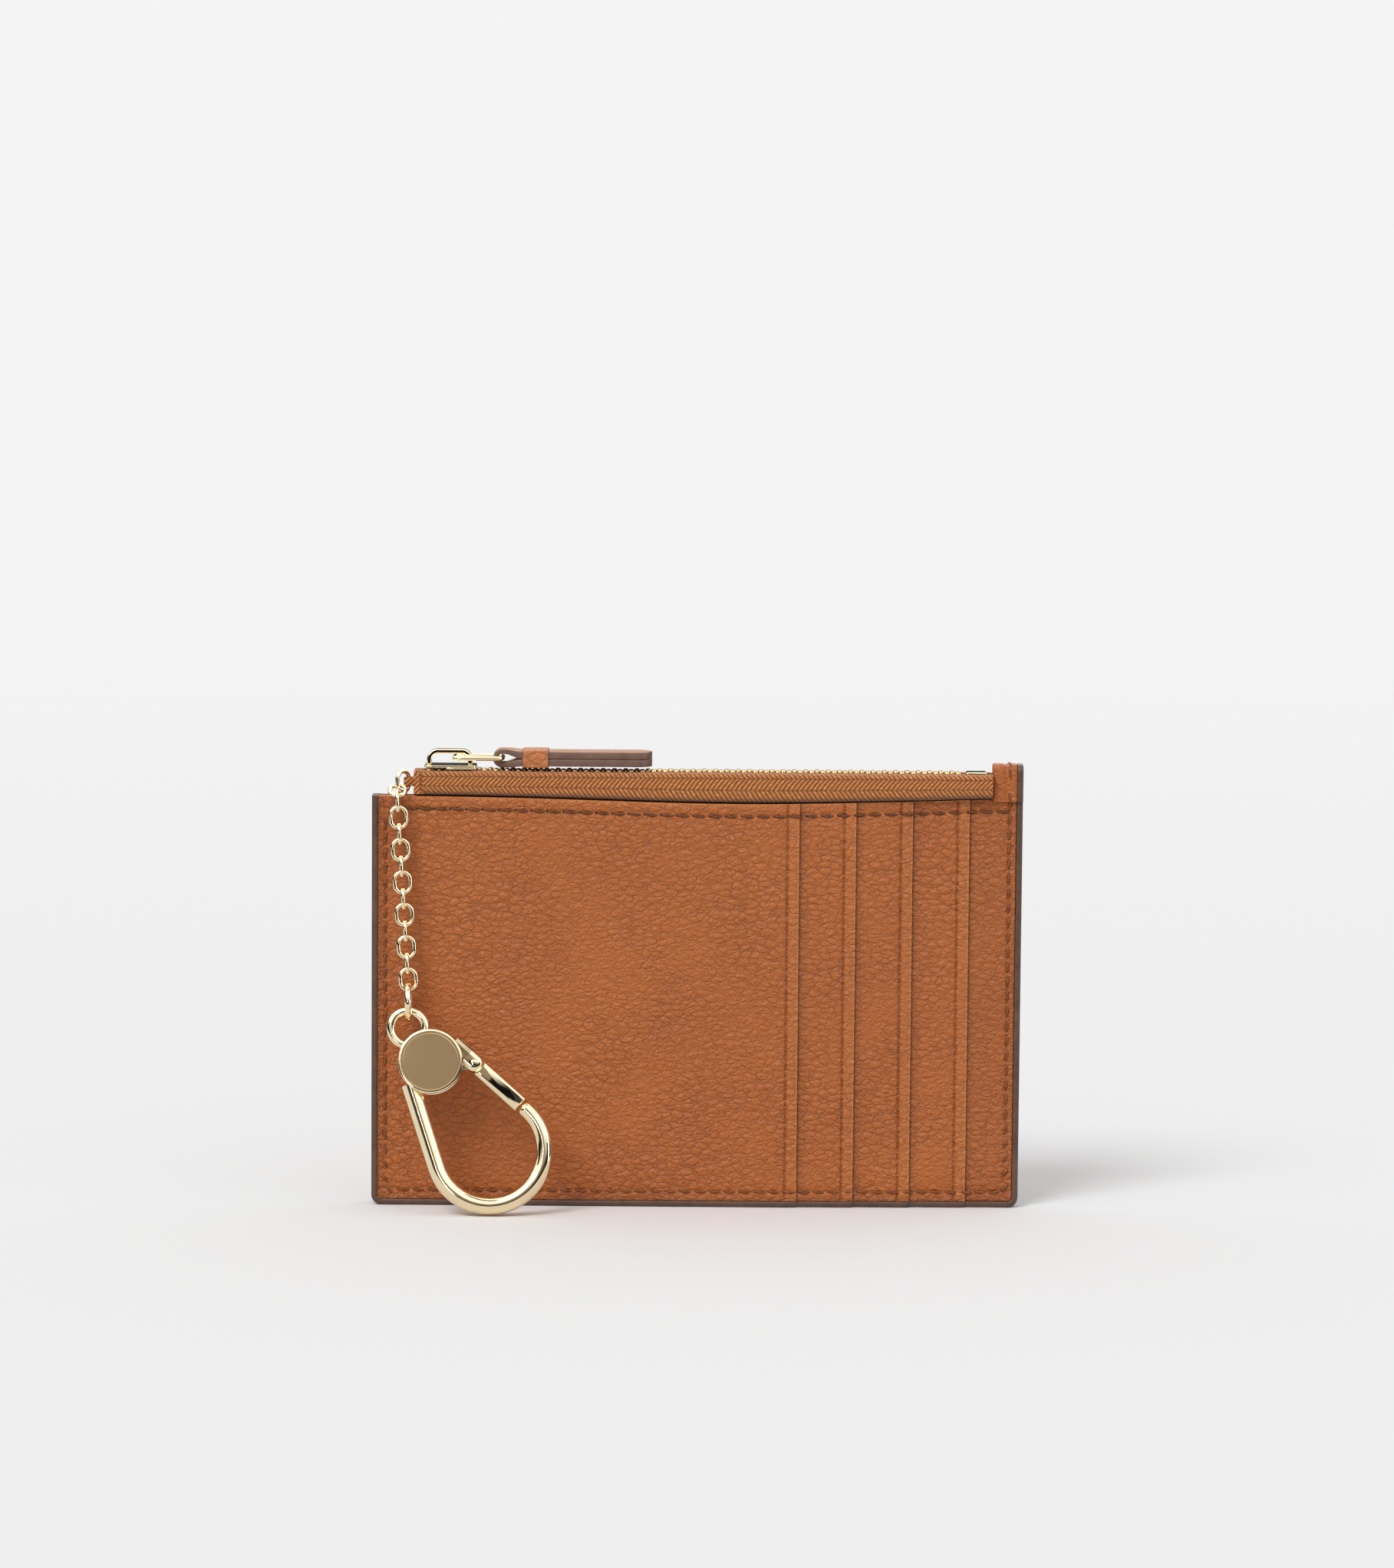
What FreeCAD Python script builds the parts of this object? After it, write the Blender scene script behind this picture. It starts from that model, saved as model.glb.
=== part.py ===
import FreeCAD, Part
import Sketcher
import math
import os
import re

from FreeCAD import Matrix, Placement, Rotation, Vector

# Flat leather card case with a top zip, side-opening card slots and a key clip on a short chain.
# Frame: +X right, the front faces -Y, +Z up. The case stands on z = 0 with its zip over y = 0.

doc = FreeCAD.newDocument("card_case")
sizes = doc.addObject("Spreadsheet::Sheet", "sizes")

driving = {
    # case body, seen from the front
    "case_width": 127.0,
    "case_height": 80.6,
    "corner_radius": 2.0,
    "edge_width": 1.2,
    # the stack of sheets, front to back
    "half_gap": 0.6,
    "lining_thick": 0.2,
    "base_thick": 0.8,
    "card_thick": 0.45,
    "backing_thick": 0.10,
    "back_thick": 1.0,
    # card slots open to the right, one slot edge every slot_pitch
    "slot_first": 19.9,
    "slot_pitch": 11.07,
    "turned_edge": 9.0,
    # zip along the top
    "zip_height": 85.3,
    "zip_left": -53.6,
    "zip_right": 57.5,
    "tape_thick": 0.35,
    "tape_reach": 3.95,
    "tape_drop": 2.9,
    "tape_sewn": 7.0,
    "tape_inner": 1.0,
    "tape_fold": 0.5,
    "tooth_pitch": 2.2,
    "tooth_width": 0.95,
    "tooth_height": 1.2,
    "tooth_root": 2.1,
    "tooth_head": 0.55,
    "teeth_left": -50.9,
    "front_teeth": 47,
    "back_teeth": 46,
    "stop_left": 52.4,
    "stop_width": 3.9,
    # slider
    "slider_left": -53.4,
    "slider_length": 10.2,
    "slider_half": 3.5,
    "plate_thick": 0.45,
    "channel_height": 1.6,
    "flange_left": -49.0,
    "flange_inner": 2.35,
    "slot_half": 0.4,
    "bridge_thick": 0.9,
    "bridge_half": 1.1,
    "bridge_rise": 3.05,
    "bridge_round": 2.1,
    "wedge_left": 0.4,
    "wedge_length": 1.7,
    "wedge_half": 0.6,
    # pull ring, leather pull and keeper
    "ring_height": 87.95,
    "ring_wire": 0.9,
    "ring_bend": 1.2,
    "ring_long": 6.9,
    "ring_wide": 3.7,
    "ring_left": -47.9,
    "pull_half": 3.4,
    "pull_neck_half": 2.05,
    "pull_shoulder": -36.0,
    "pull_thick": 2.9,
    "pull_end": -8.95,
    "pull_tip": 3.2,
    "loop_radius": 1.85,
    "loop_hole": 0.85,
    "keeper_left": -34.4,
    "keeper_width": 5.1,
    "keeper_thick": 0.3,
    # right end tab
    "tab_left": 57.55,
    "tab_half": 2.3,
    "tab_top": 87.5,
    "tab_round": 1.4,
    # left tab that holds the chain
    "loop_x": -56.4,
    "loop_y": -1.3,
    "loop_outer": 1.0,
    "loop_inner": 0.52,
    "neck_height": 1.7,
    "block_left": -55.1,
    "block_right": -53.85,
    # chain
    "link_wire": 0.8,
    "link_bend": 1.52,
    "link_straight": 1.01,
    "link_play": 0.09,
    "chain_x": -58.35,
    "chain_y": -6.06,
    "chain_top": 79.75,
    "chain_lean": 3.7,
    "chain_forward": 3.3,
    "first_link_turn": 45.0,
    "first_link_height": 83.25,
    "flat_link_tilt": 24.0,
    # jump ring and clip
    "jump_wire": 1.2,
    "jump_bend": 3.4,
    "clip_tilt": 34.0,
    "clip_lean": 12.0,
    "eye_bend": 3.15,
    "eye_wire": 1.3,
    "eye_height": 7.97,
    "hub_radius": 5.7,
    "frame_half": 1.5,
    "cap_radius": 6.3,
    "cap_thick": 1.1,
    "cap_step": 0.35,
    "cap_bevel": 0.35,
    "cap_rim": 1.1,
    "rivet_radius": 1.1,
    "bow_drop": 20.75,
    "bow_bend": 10.7,
    "bow_wire": 3.6,
    "bow_start": 164.2,
    "spine_length": 15.0,
    "nose_angle": 20.0,
    "pivot_x": 6.9,
    "pivot_drop": 4.9,
    "pivot_radius": 0.6,
    "pivot_play": 0.05,
    "knuckle_radius": 1.3,
    "knuckle_half": 0.75,
    "ear_radius": 1.9,
    "ear_inner": 0.85,
    "arm_start": 1.5,
    "gate_width": 3.0,
    "gate_start": 2.1,
    "gate_gap": 0.4,
    "spring_radius": 0.42,
    "spring_wire": 0.2,
    "spring_length": 1.2,
    "spring_x": 4.35,
    "spring_drop": 4.15,
    "spring_angle": 38.5,
}

for row, (alias, number) in enumerate(driving.items(), start=1):
    sizes.set(f"A{row}", alias)
    sizes.set(f"B{row}", str(number))
    sizes.setAlias(f"B{row}", alias)
doc.recompute()

WORD = re.compile(r"[a-z][a-z0-9_]*")


def on_sheet(expression):
    """The expression with each alias pointing at the sheet."""
    return WORD.sub(lambda w: f"sizes.{w[0]}" if w[0] in driving else w[0], str(expression))


def value(expression):
    found = sizes.evalExpression(on_sheet(expression))
    return float(getattr(found, "Value", found))


def bind(thing, **places):
    """Binds properties to sheet expressions; Base_x stands for Placement.Base.x and so on."""
    for name, expression in places.items():
        path = name.replace("Base_", "Placement.Base.").replace("Offset_", "AttachmentOffset.Base.")
        thing.setExpression(path, on_sheet(expression))


def add(kind, label, **places):
    thing = doc.addObject(kind, label)
    bind(thing, **places)
    return thing


def block(label, x, y, z):
    """A box between two faces along each axis."""
    return add(
        "Part::Box", label,
        Length=f"({x[1]}) - ({x[0]})", Width=f"({y[1]}) - ({y[0]})", Height=f"({z[1]}) - ({z[0]})",
        Base_x=x[0], Base_y=y[0], Base_z=z[0],
    )


def rod(label, radius, length, turn, x, y, z):
    """A cylinder that starts at a point and runs along its turned axis."""
    thing = doc.addObject("Part::Cylinder", label)
    thing.Placement = Placement(Vector(), turn)
    bind(thing, Radius=radius, Height=length, Base_x=x, Base_y=y, Base_z=z)
    return thing


def joined(label, pieces):
    thing = doc.addObject("Part::MultiFuse", label)
    thing.Shapes = pieces
    return thing


def without(label, base, tool):
    thing = doc.addObject("Part::Cut", label)
    thing.Base = base
    thing.Tool = tool
    return thing


def arc_centre(start, end, radius):
    """The centre of an arc from start to end; a positive radius bends to the left of travel."""
    run = end - start
    across = Vector(-run.y, run.x, 0).normalize()
    height = math.sqrt(max(radius * radius - run.Length**2 / 4, 0))
    return start + run / 2 + across * math.copysign(height, radius)


def draw(sketch, outline):
    """A closed outline of corners; a third entry bends the side after that corner to a radius."""
    corners = [Vector(value(c[0]), value(c[1]), 0) for c in outline]
    starts, ends = [], []
    for i, corner in enumerate(outline):
        here, there = corners[i], corners[(i + 1) % len(corners)]
        if len(corner) == 2:
            side = sketch.addGeometry(Part.LineSegment(here, there), False)
            starts.append((side, 1))
            ends.append((side, 2))
            continue
        radius = value(corner[2])
        centre = arc_centre(here, there, radius)
        first, last = (here, there) if radius > 0 else (there, here)
        angles = [math.atan2(p.y - centre.y, p.x - centre.x) for p in (first, last)]
        circle = Part.Circle(centre, Vector(0, 0, 1), abs(radius))
        side = sketch.addGeometry(Part.ArcOfCircle(circle, *angles), False)
        starts.append((side, 1 if radius > 0 else 2))
        ends.append((side, 2 if radius > 0 else 1))
        limit = sketch.addConstraint(Sketcher.Constraint("Radius", side, abs(radius)))
        sketch.setExpression(f"Constraints[{limit}]", on_sheet(f"abs({corner[2]})"))
    for i, corner in enumerate(outline):
        sketch.addConstraint(Sketcher.Constraint("Coincident", *ends[i - 1], *starts[i]))
        for kind, number, expression in (
            ("DistanceX", corners[i].x, corner[0]),
            ("DistanceY", corners[i].y, corner[1]),
        ):
            limit = sketch.addConstraint(Sketcher.Constraint(kind, -1, 1, *starts[i], number))
            sketch.setExpression(f"Constraints[{limit}]", on_sheet(expression))


def pad(body, plane, outline, start, length):
    """Pads an outline on one of the body's own planes, from an offset along the plane's normal."""
    origin = next(f for f in body.Origin.OriginFeatures if f.Role == plane)
    sketch = body.newObject("Sketcher::SketchObject", f"{body.Name}_outline")
    sketch.AttachmentSupport = [(origin, "")]
    sketch.MapMode = "FlatFace"
    bind(sketch, Offset_z=start)
    draw(sketch, outline)
    feature = body.newObject("PartDesign::Pad", f"{body.Name}_pad")
    feature.Profile = sketch
    bind(feature, Length=length)
    return feature


nodes = []


def node(name, thing):
    thing.Label = name
    nodes.append(thing)
    return thing


# ---- leather and lining sheets, each inside the painted edge -------------------------------------

left, right = "-case_width/2 + edge_width", "case_width/2 - edge_width"
upright = ("edge_width", "case_height")
base_back = "-half_gap - lining_thick"
base_front = f"{base_back} - base_thick"
slot_step = "(card_thick + backing_thick)"


def sheet(name, x, y, z=upright):
    return node(name, block(f"{name}_sheet", x, y, z))


sheet("back_panel", (left, right), ("half_gap + lining_thick", "half_gap + lining_thick + back_thick"))
sheet("lining_back", (left, right), ("half_gap", "half_gap + lining_thick"))
sheet("lining_front", (left, right), (base_back, "-half_gap"))
sheet("front_base_panel", (left, right), (base_front, base_back))


def slot_edge(number):
    """Card panel 1 lies on the base and reaches furthest right, card panel 4 is the outermost."""
    return f"slot_first + slot_pitch*{4 - number}"


def card_face(number):
    """The y of card panel number's front face."""
    return f"{base_front} - {slot_step}*{number}"


for number in range(1, 5):
    behind = card_face(number - 1)
    sheet(
        f"pocket_backing_{number}",
        (left, f"{slot_edge(number)} - turned_edge"),
        (f"{behind} - backing_thick", behind),
        ("edge_width", "case_height - edge_width"),
    )
    sheet(
        f"card_panel_{number}",
        (left, slot_edge(number)),
        (card_face(number), f"{behind} - backing_thick"),
    )


# ---- painted edge: a bead round three sides, stepped where each card panel ends ------------------

out_left, out_right = "-case_width/2", "case_width/2"
painted_edge = doc.addObject("PartDesign::Body", "painted_edge_body")
pad(
    painted_edge, "XZ_Plane",
    [
        (out_left, "case_height"), (out_left, "corner_radius", "corner_radius"),
        (f"{out_left} + corner_radius", "0"), (f"{out_right} - corner_radius", "0", "corner_radius"),
        (out_right, "corner_radius"), (out_right, "case_height"),
        (right, "case_height"), (right, "edge_width"), (left, "edge_width"), (left, "case_height"),
    ],
    "-half_gap - lining_thick - back_thick",
    "2*half_gap + 2*lining_thick + back_thick + base_thick",
)
for number in range(1, 5):
    pad(
        painted_edge, "XZ_Plane",
        [
            (out_left, "case_height"), (out_left, "corner_radius", "corner_radius"),
            (f"{out_left} + corner_radius", "0"), (slot_edge(number), "0"),
            (slot_edge(number), "edge_width"), (left, "edge_width"), (left, "case_height"),
        ],
        f"-({card_face(number - 1)})",
        slot_step,
    )
tab_crown = [
    ("tab_half", "tab_top - tab_round", "tab_round"), ("tab_half - tab_round", "tab_top"),
    ("-tab_half + tab_round", "tab_top", "tab_round"), ("-tab_half", "tab_top - tab_round"),
]
pad(
    painted_edge, "YZ_Plane",
    [("-tab_half", "case_height"), ("tab_half", "case_height")] + tab_crown,
    right,
    "edge_width",
)
node("painted_edge", painted_edge)


# ---- zip tapes: sewn inside the case, out to the sides, then in to the teeth ----------------------

def tape(name, side):
    """One tape; side is -1 for the front and 1 for the back."""
    body = doc.addObject("PartDesign::Body", f"{name}_body")
    low = "zip_height - tape_thick/2"
    high = "zip_height + tape_thick/2"
    wall = f"{low} - tape_drop"
    inside = [
        ("tape_inner", low), ("tape_reach - tape_thick/2", low),
        ("tape_reach - tape_thick/2", wall), ("half_gap - tape_thick", "case_height + 0.4"),
        ("half_gap - tape_thick", "case_height - tape_sewn"),
    ]
    outside = [
        ("half_gap", "case_height - tape_sewn"), ("half_gap", "case_height + 0.2"),
        ("tape_reach + tape_thick/2", f"{wall} - 0.15"),
        ("tape_reach + tape_thick/2", f"{high} - tape_fold"),
        ("tape_reach - tape_fold + tape_thick/2", high), ("tape_inner", high),
    ]
    outline = [(f"{side}*({y})", z) for y, z in inside + outside]
    pad(body, "YZ_Plane", outline, "zip_left", "zip_right - zip_left")
    return node(name, body)


tape("zip_tape_front", -1)
tape("zip_tape_back", 1)


# ---- teeth: a jaw over each side of the tape and a head across the middle -------------------------

def teeth(name, side, first, count):
    body = doc.addObject("PartDesign::Body", f"{name}_body")
    body.AllowCompound = True
    top = "zip_height + tooth_height/2"
    bottom = "zip_height - tooth_height/2"
    grip = "(tape_thick/2 + 0.04)"
    outline = [
        ("-tooth_head", bottom), ("tooth_root", bottom),
        ("tooth_root", f"zip_height - {grip}"), ("tape_inner - 0.05", f"zip_height - {grip}"),
        ("tape_inner - 0.05", f"zip_height + {grip}"), ("tooth_root", f"zip_height + {grip}"),
        ("tooth_root", top), ("-tooth_head", top),
    ]
    tooth = pad(body, "YZ_Plane", [(f"{side}*({y})", z) for y, z in outline], first, "tooth_width")
    row = body.newObject("PartDesign::LinearPattern", f"{name}_row")
    row.Originals = [tooth]
    along = next(f for f in body.Origin.OriginFeatures if f.Role == "X_Axis")
    row.Direction = (along, [""])
    bind(row, Length=f"tooth_pitch*({count} - 1)", Occurrences=count)
    body.Tip = row
    return node(name, body)


teeth("zip_teeth_front", -1, "teeth_left", "front_teeth")
teeth("zip_teeth_back", 1, "teeth_left + tooth_pitch/2", "back_teeth")


def stop(name, x, low, high):
    """A stop clamped on the tape between two y values, over and under the tape."""
    z = ("zip_height - tooth_height/2", "zip_height + tooth_height/2")
    whole = block(f"{name}_block", x, (low, high), z)
    grip = ("zip_height - tape_thick/2 - 0.02", "zip_height + tape_thick/2 + 0.02")
    cuts = []
    if value(low) < -value("tape_inner"):
        cuts.append(block(f"{name}_front_slot", x, (f"{low} - 1", "-tape_inner + 0.02"), grip))
    if value(high) > value("tape_inner"):
        cuts.append(block(f"{name}_back_slot", x, ("tape_inner - 0.02", f"{high} + 1"), grip))
    tool = joined(f"{name}_slots", cuts) if len(cuts) > 1 else cuts[0]
    return without(f"{name}_clamp", whole, tool)


bottom_stop_x = ("stop_left", "stop_left + stop_width")
node("zip_bottom_stop", stop("bottom_stop", bottom_stop_x, "-tooth_root", "tooth_root"))
top_stop_x = ("teeth_left - 2.0", "teeth_left - 0.8")
top_stops = doc.addObject("Part::Compound", "top_stop_pair")
top_stops.Links = [
    stop("front_stop", top_stop_x, "-tooth_root", "-tape_inner + 0.1"),
    stop("back_stop", top_stop_x, "tape_inner - 0.1", "tooth_root"),
]
node("zip_top_stops", top_stops)


# ---- slider: two plates on a wedge, flanges that hold the teeth, and the bridge -------------------

slider_x = ("slider_left", "slider_left + slider_length")
across = ("-slider_half", "slider_half")
channel_low, channel_high = "zip_height - channel_height/2", "zip_height + channel_height/2"
plate_top = f"{channel_high} + plate_thick"
pieces = [
    block("slider_lower_plate", slider_x, across, (f"{channel_low} - plate_thick", channel_low)),
    block("slider_upper_plate", slider_x, across, (channel_high, plate_top)),
]
flange_x = ("flange_left", slider_x[1])
for name, y in (
    ("front", ("-slider_half", "-flange_inner")),
    ("back", ("flange_inner", "slider_half")),
):
    pieces.append(block(f"slider_{name}_lower_flange", flange_x, y, (channel_low, "zip_height - slot_half")))
    pieces.append(block(f"slider_{name}_upper_flange", flange_x, y, ("zip_height + slot_half", channel_high)))
wedge_x = ("slider_left + wedge_left", "slider_left + wedge_left + wedge_length")
pieces.append(block("slider_wedge", wedge_x, ("-wedge_half", "wedge_half"), (channel_low, channel_high)))
node("slider_body", joined("slider_fused", pieces))

bridge = doc.addObject("PartDesign::Body", "bridge_body")
foot_left, foot_right = "slider_left + 0.5", "slider_left + slider_length - 0.8"
crown = f"{plate_top} + bridge_rise"
shoulder = f"{crown} - bridge_round"
inner_round = "bridge_thick - bridge_round"
pad(
    bridge, "XZ_Plane",
    [
        (foot_left, plate_top), (f"{foot_left} + bridge_thick", plate_top),
        (f"{foot_left} + bridge_thick", shoulder, inner_round),
        (f"{foot_left} + bridge_round", f"{crown} - bridge_thick"),
        (f"{foot_right} - bridge_round", f"{crown} - bridge_thick", inner_round),
        (f"{foot_right} - bridge_thick", shoulder),
        (f"{foot_right} - bridge_thick", plate_top), (foot_right, plate_top),
        (foot_right, shoulder, "bridge_round"), (f"{foot_right} - bridge_round", crown),
        (f"{foot_left} + bridge_round", crown, "bridge_round"), (foot_left, shoulder),
    ],
    "-bridge_half",
    "2*bridge_half",
)
node("slider_bridge", bridge)


# ---- wire loops: chain links, the pull ring and the jump ring share one shape ---------------------

def wire_loop(label, bend, long, wide, wire):
    """A loop of round wire in its own XY plane, long along Y, centred on its own origin."""
    pieces = []
    for quarter, (x_side, y_side) in enumerate((("", ""), ("-", ""), ("-", "-"), ("", "-"))):
        corner = doc.addObject("Part::Torus", f"{label}_corner")
        corner.Placement = Placement(Vector(), Rotation(Vector(0, 0, 1), 90 * quarter))
        bind(
            corner, Radius1=bend, Radius2=f"{wire}/2", Angle3="90",
            Base_x=f"{x_side}{wide}/2", Base_y=f"{y_side}{long}/2",
        )
        pieces.append(corner)
    along_y = Rotation(Vector(1, 0, 0), -90)
    along_x = Rotation(Vector(0, 1, 0), 90)
    for side in ("", "-"):
        x = f"{side}({wide}/2 + {bend})"
        y = f"{side}({long}/2 + {bend})"
        pieces.append(rod(f"{label}_side", f"{wire}/2", long, along_y, x, f"-{long}/2", "0"))
        if wide != "0":
            pieces.append(rod(f"{label}_end", f"{wire}/2", wide, along_x, f"-{wide}/2", y, "0"))
    return joined(f"{label}_loop", pieces)


def framed(centre, across_axis, long_axis):
    """The placement whose own X lies along across_axis and own Y along long_axis."""
    x, y = Vector(across_axis).normalize(), Vector(long_axis).normalize()
    z = x.cross(y)
    return Placement(
        Matrix(x.x, y.x, z.x, centre.x, x.y, y.y, z.y, centre.y, x.z, y.z, z.z, centre.z, 0, 0, 0, 1)
    )


ring_length = value("2*ring_bend + ring_long")
ring_middle = Vector(value("ring_left + ring_wire/2 + ring_bend + ring_long/2"), 0, value("ring_height"))
pull_ring = node("pull_ring", wire_loop("pull_ring", "ring_bend", "ring_long", "ring_wide", "ring_wire"))
pull_ring.Placement = framed(ring_middle, Vector(0, -1, 0), Vector(1, 0, 0))
ring_hinge = Vector(value("ring_left + ring_wire/2"), 0, value("ring_height"))
pull_hinge = ring_hinge + Vector(ring_length, 0, 0)


# ---- leather pull, folded round the ring, with its keeper band ------------------------------------

loop_at = "ring_left + ring_wire/2 + 2*ring_bend + ring_long"
pull_low, pull_high = "ring_height - pull_thick/2", "ring_height + pull_thick/2"
pull_body = doc.addObject("PartDesign::Body", "pull_body")
pad(
    pull_body, "XZ_Plane",
    [
        (loop_at, "ring_height + loop_radius", "loop_radius"),
        (f"{loop_at} - loop_radius", "ring_height", "loop_radius"),
        (loop_at, "ring_height - loop_radius"), ("keeper_left", pull_low),
        ("pull_end", pull_low), ("pull_end", pull_high), ("keeper_left", pull_high),
    ],
    "-pull_neck_half",
    "2*pull_neck_half",
)
pad(
    pull_body, "XZ_Plane",
    [
        ("pull_shoulder", pull_low), ("pull_end", pull_low),
        ("pull_end", pull_high), ("pull_shoulder", pull_high),
    ],
    "-pull_half",
    "2*pull_half",
)
doc.recompute()
eye_origin = next(f for f in pull_body.Origin.OriginFeatures if f.Role == "XZ_Plane")
eye_sketch = pull_body.newObject("Sketcher::SketchObject", "pull_eye_outline")
eye_sketch.AttachmentSupport = [(eye_origin, "")]
eye_sketch.MapMode = "FlatFace"
draw(
    eye_sketch,
    [
        (loop_at, "ring_height + loop_hole", "loop_hole"),
        (f"{loop_at} - loop_hole", "ring_height", "loop_hole"),
        (loop_at, "ring_height - loop_hole"), ("keeper_left - 0.3", "ring_height"),
    ],
)
eye = pull_body.newObject("PartDesign::Pocket", "pull_eye")
eye.Profile = eye_sketch
eye.Type = 1
eye.Midplane = True
doc.recompute()
tip_edges = [
    f"Edge{i}" for i, edge in enumerate(pull_body.Shape.Edges, start=1)
    if abs(edge.BoundBox.XMin - value("pull_end")) < 1e-4 and edge.BoundBox.XLength < 1e-4
    and edge.BoundBox.ZLength > 1
]
tip = pull_body.newObject("PartDesign::Fillet", "pull_tip_round")
tip.Base = (eye, tip_edges)
bind(tip, Radius="pull_tip")
pull_body.Tip = tip
node("leather_pull", pull_body)

keeper_x = ("keeper_left + 0.2", "keeper_left + 0.2 + keeper_width")
band = block(
    "keeper_outer", keeper_x, ("-pull_half - keeper_thick", "pull_half + keeper_thick"),
    (f"{pull_low} - keeper_thick", f"{pull_high} + keeper_thick"),
)
keeper_hole = block("keeper_inner", keeper_x, ("-pull_half", "pull_half"), (pull_low, pull_high))
node("pull_keeper", without("keeper_band", band, keeper_hole))


# ---- right end tab: leather folded over the zip's end, with a tongue sewn inside ------------------

end_tab = doc.addObject("PartDesign::Body", "end_tab_body")
pad(
    end_tab, "YZ_Plane",
    [
        ("-tab_half", "case_height"), ("-half_gap + 0.05", "case_height"),
        ("-half_gap + 0.05", "case_height - tape_sewn"), ("half_gap - 0.05", "case_height - tape_sewn"),
        ("half_gap - 0.05", "case_height"), ("tab_half", "case_height"),
    ] + tab_crown,
    "tab_left",
    f"{right} - tab_left",
)
node("zip_end_tab", end_tab)


# ---- left tab: the tape's end folded into a loop that holds the first link ------------------------

neck_low, neck_high = "first_link_height - neck_height/2", "first_link_height + neck_height/2"
neck_z = (neck_low, neck_high)
loop_front, loop_back = "loop_y - loop_outer", "loop_y + loop_outer"
pieces = [
    rod("tab_loop", "loop_outer", "neck_height", Rotation(), "loop_x", "loop_y", neck_low),
    block("tab_neck", ("loop_x", "block_left"), (loop_front, loop_back), neck_z),
    block(
        "tab_block", ("block_left", "block_right"), (loop_front, "half_gap - 0.1"),
        ("case_height + 0.15", "zip_height"),
    ),
    block(
        "tab_tongue", ("block_left", "block_right"), ("-half_gap + 0.05", "half_gap - 0.05"),
        ("case_height - tape_sewn", "case_height + 0.15"),
    ),
]
loop_bore = rod("tab_bore", "loop_inner", "neck_height + 2", Rotation(), "loop_x", "loop_y", f"{neck_low} - 1")
node("chain_tab", without("chain_tab_cut", joined("chain_tab_solid", pieces), loop_bore))


# ---- chain: each link hangs in the one before it, turned a quarter --------------------------------

link_out = value("link_bend + link_straight/2")
pitch = value("2*link_bend + link_straight - link_wire - link_play")
down = Vector(math.tan(math.radians(value("chain_lean"))), -math.tan(math.radians(value("chain_forward"))), -1)
down.normalize()
side_face = Vector(0, 1, 0).cross(down).negative().normalize()
front_face = side_face.cross(down)
link_sizes = ("link_bend", "link_straight", "0", "link_wire")
links = []


def link(centre, wide, long):
    """Adds the next link; wide is the direction across its opening, long the way it hangs."""
    name = f"chain_link_{len(links) + 1:02d}"
    loop = node(name, wire_loop(name, *link_sizes))
    loop.Placement = framed(centre, wide, long)
    links.append({"centre": centre, "wide": Vector(wide), "long": Vector(long)})


turn = math.radians(value("first_link_turn"))
first_wide = Vector(-math.cos(turn), -math.sin(turn), 0)
first_wire = Vector(value("loop_x"), value("loop_y"), value("first_link_height"))
link(first_wire + first_wide * value("link_bend"), first_wide, Vector(0, 0, -1))

third_centre = Vector(value("chain_x"), value("chain_y"), value("chain_top"))
tilt = math.radians(value("flat_link_tilt"))
flat_long = Vector(0, -math.cos(tilt), -math.sin(tilt))
flat_front = third_centre - down * (link_out - value("link_wire + link_play"))
link(flat_front - flat_long * link_out, Vector(1, 0, 0), flat_long)

for number in range(3, 15):
    centre = third_centre + down * (pitch * (number - 3))
    link(centre, front_face if number % 2 else side_face, down)


# ---- jump ring and clip, leaning out from the case ------------------------------------------------

clip_lean = math.radians(value("clip_lean"))
hang = Vector(0, -math.sin(clip_lean), -math.cos(clip_lean))
last = links[-1]
jump_top = last["centre"] + last["long"] * (link_out - value("link_wire/2 + 0.1 + jump_wire/2"))
jump_middle = jump_top + hang * value("jump_bend")
jump_foot = jump_middle + hang * value("jump_bend")
jump = doc.addObject("Part::Torus", "jump_torus")
bind(jump, Radius1="jump_bend", Radius2="jump_wire/2")
jump.Placement = framed(jump_middle, hang.cross(Vector(1, 0, 0)), hang)
node("jump_ring", jump)

lean_turn = Rotation(Vector(1, 0, 0), -value("clip_lean"))
clip_turn = lean_turn.multiply(Rotation(Vector(0, 1, 0), -value("clip_tilt")))
clip_normal = clip_turn.multVec(Vector(0, 1, 0))
eye_middle = jump_foot + hang * value("eye_bend - (jump_wire + eye_wire)/2 - 0.1")
clip_place = Placement(eye_middle - clip_turn.multVec(Vector(0, 0, value("eye_height"))), clip_turn)


def clip_node(name, thing):
    thing.Placement = clip_place.multiply(thing.Placement)
    return node(name, thing)


face_turn = Rotation(Vector(1, 0, 0), -90)  # a cylinder's axis along +Y
eye_ring = doc.addObject("Part::Torus", "eye_ring")
eye_ring.Placement = Placement(Vector(), face_turn)
bind(eye_ring, Radius1="eye_bend", Radius2="eye_wire/2", Base_z="eye_height")

bow_start = math.radians(value("bow_start"))
bow_first = Vector(math.cos(bow_start), 0, math.sin(bow_start))
bow_along = Vector(-math.sin(bow_start), 0, math.cos(bow_start))
bow = doc.addObject("Part::Torus", "bow_arc")
bind(bow, Radius1="bow_bend", Radius2="bow_wire/2", Angle3="360 + nose_angle - bow_start")
bow.Placement = framed(Vector(0, 0, -value("bow_drop")), bow_first, bow_along)

spine_foot = Vector(0, 0, -value("bow_drop")) + bow_first * value("bow_bend")
spine = doc.addObject("Part::Cylinder", "spine")
bind(spine, Radius="bow_wire/2", Height="spine_length")
spine.Placement = Placement(spine_foot, Rotation(Vector(0, 0, 1), bow_along.negative()))

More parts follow.
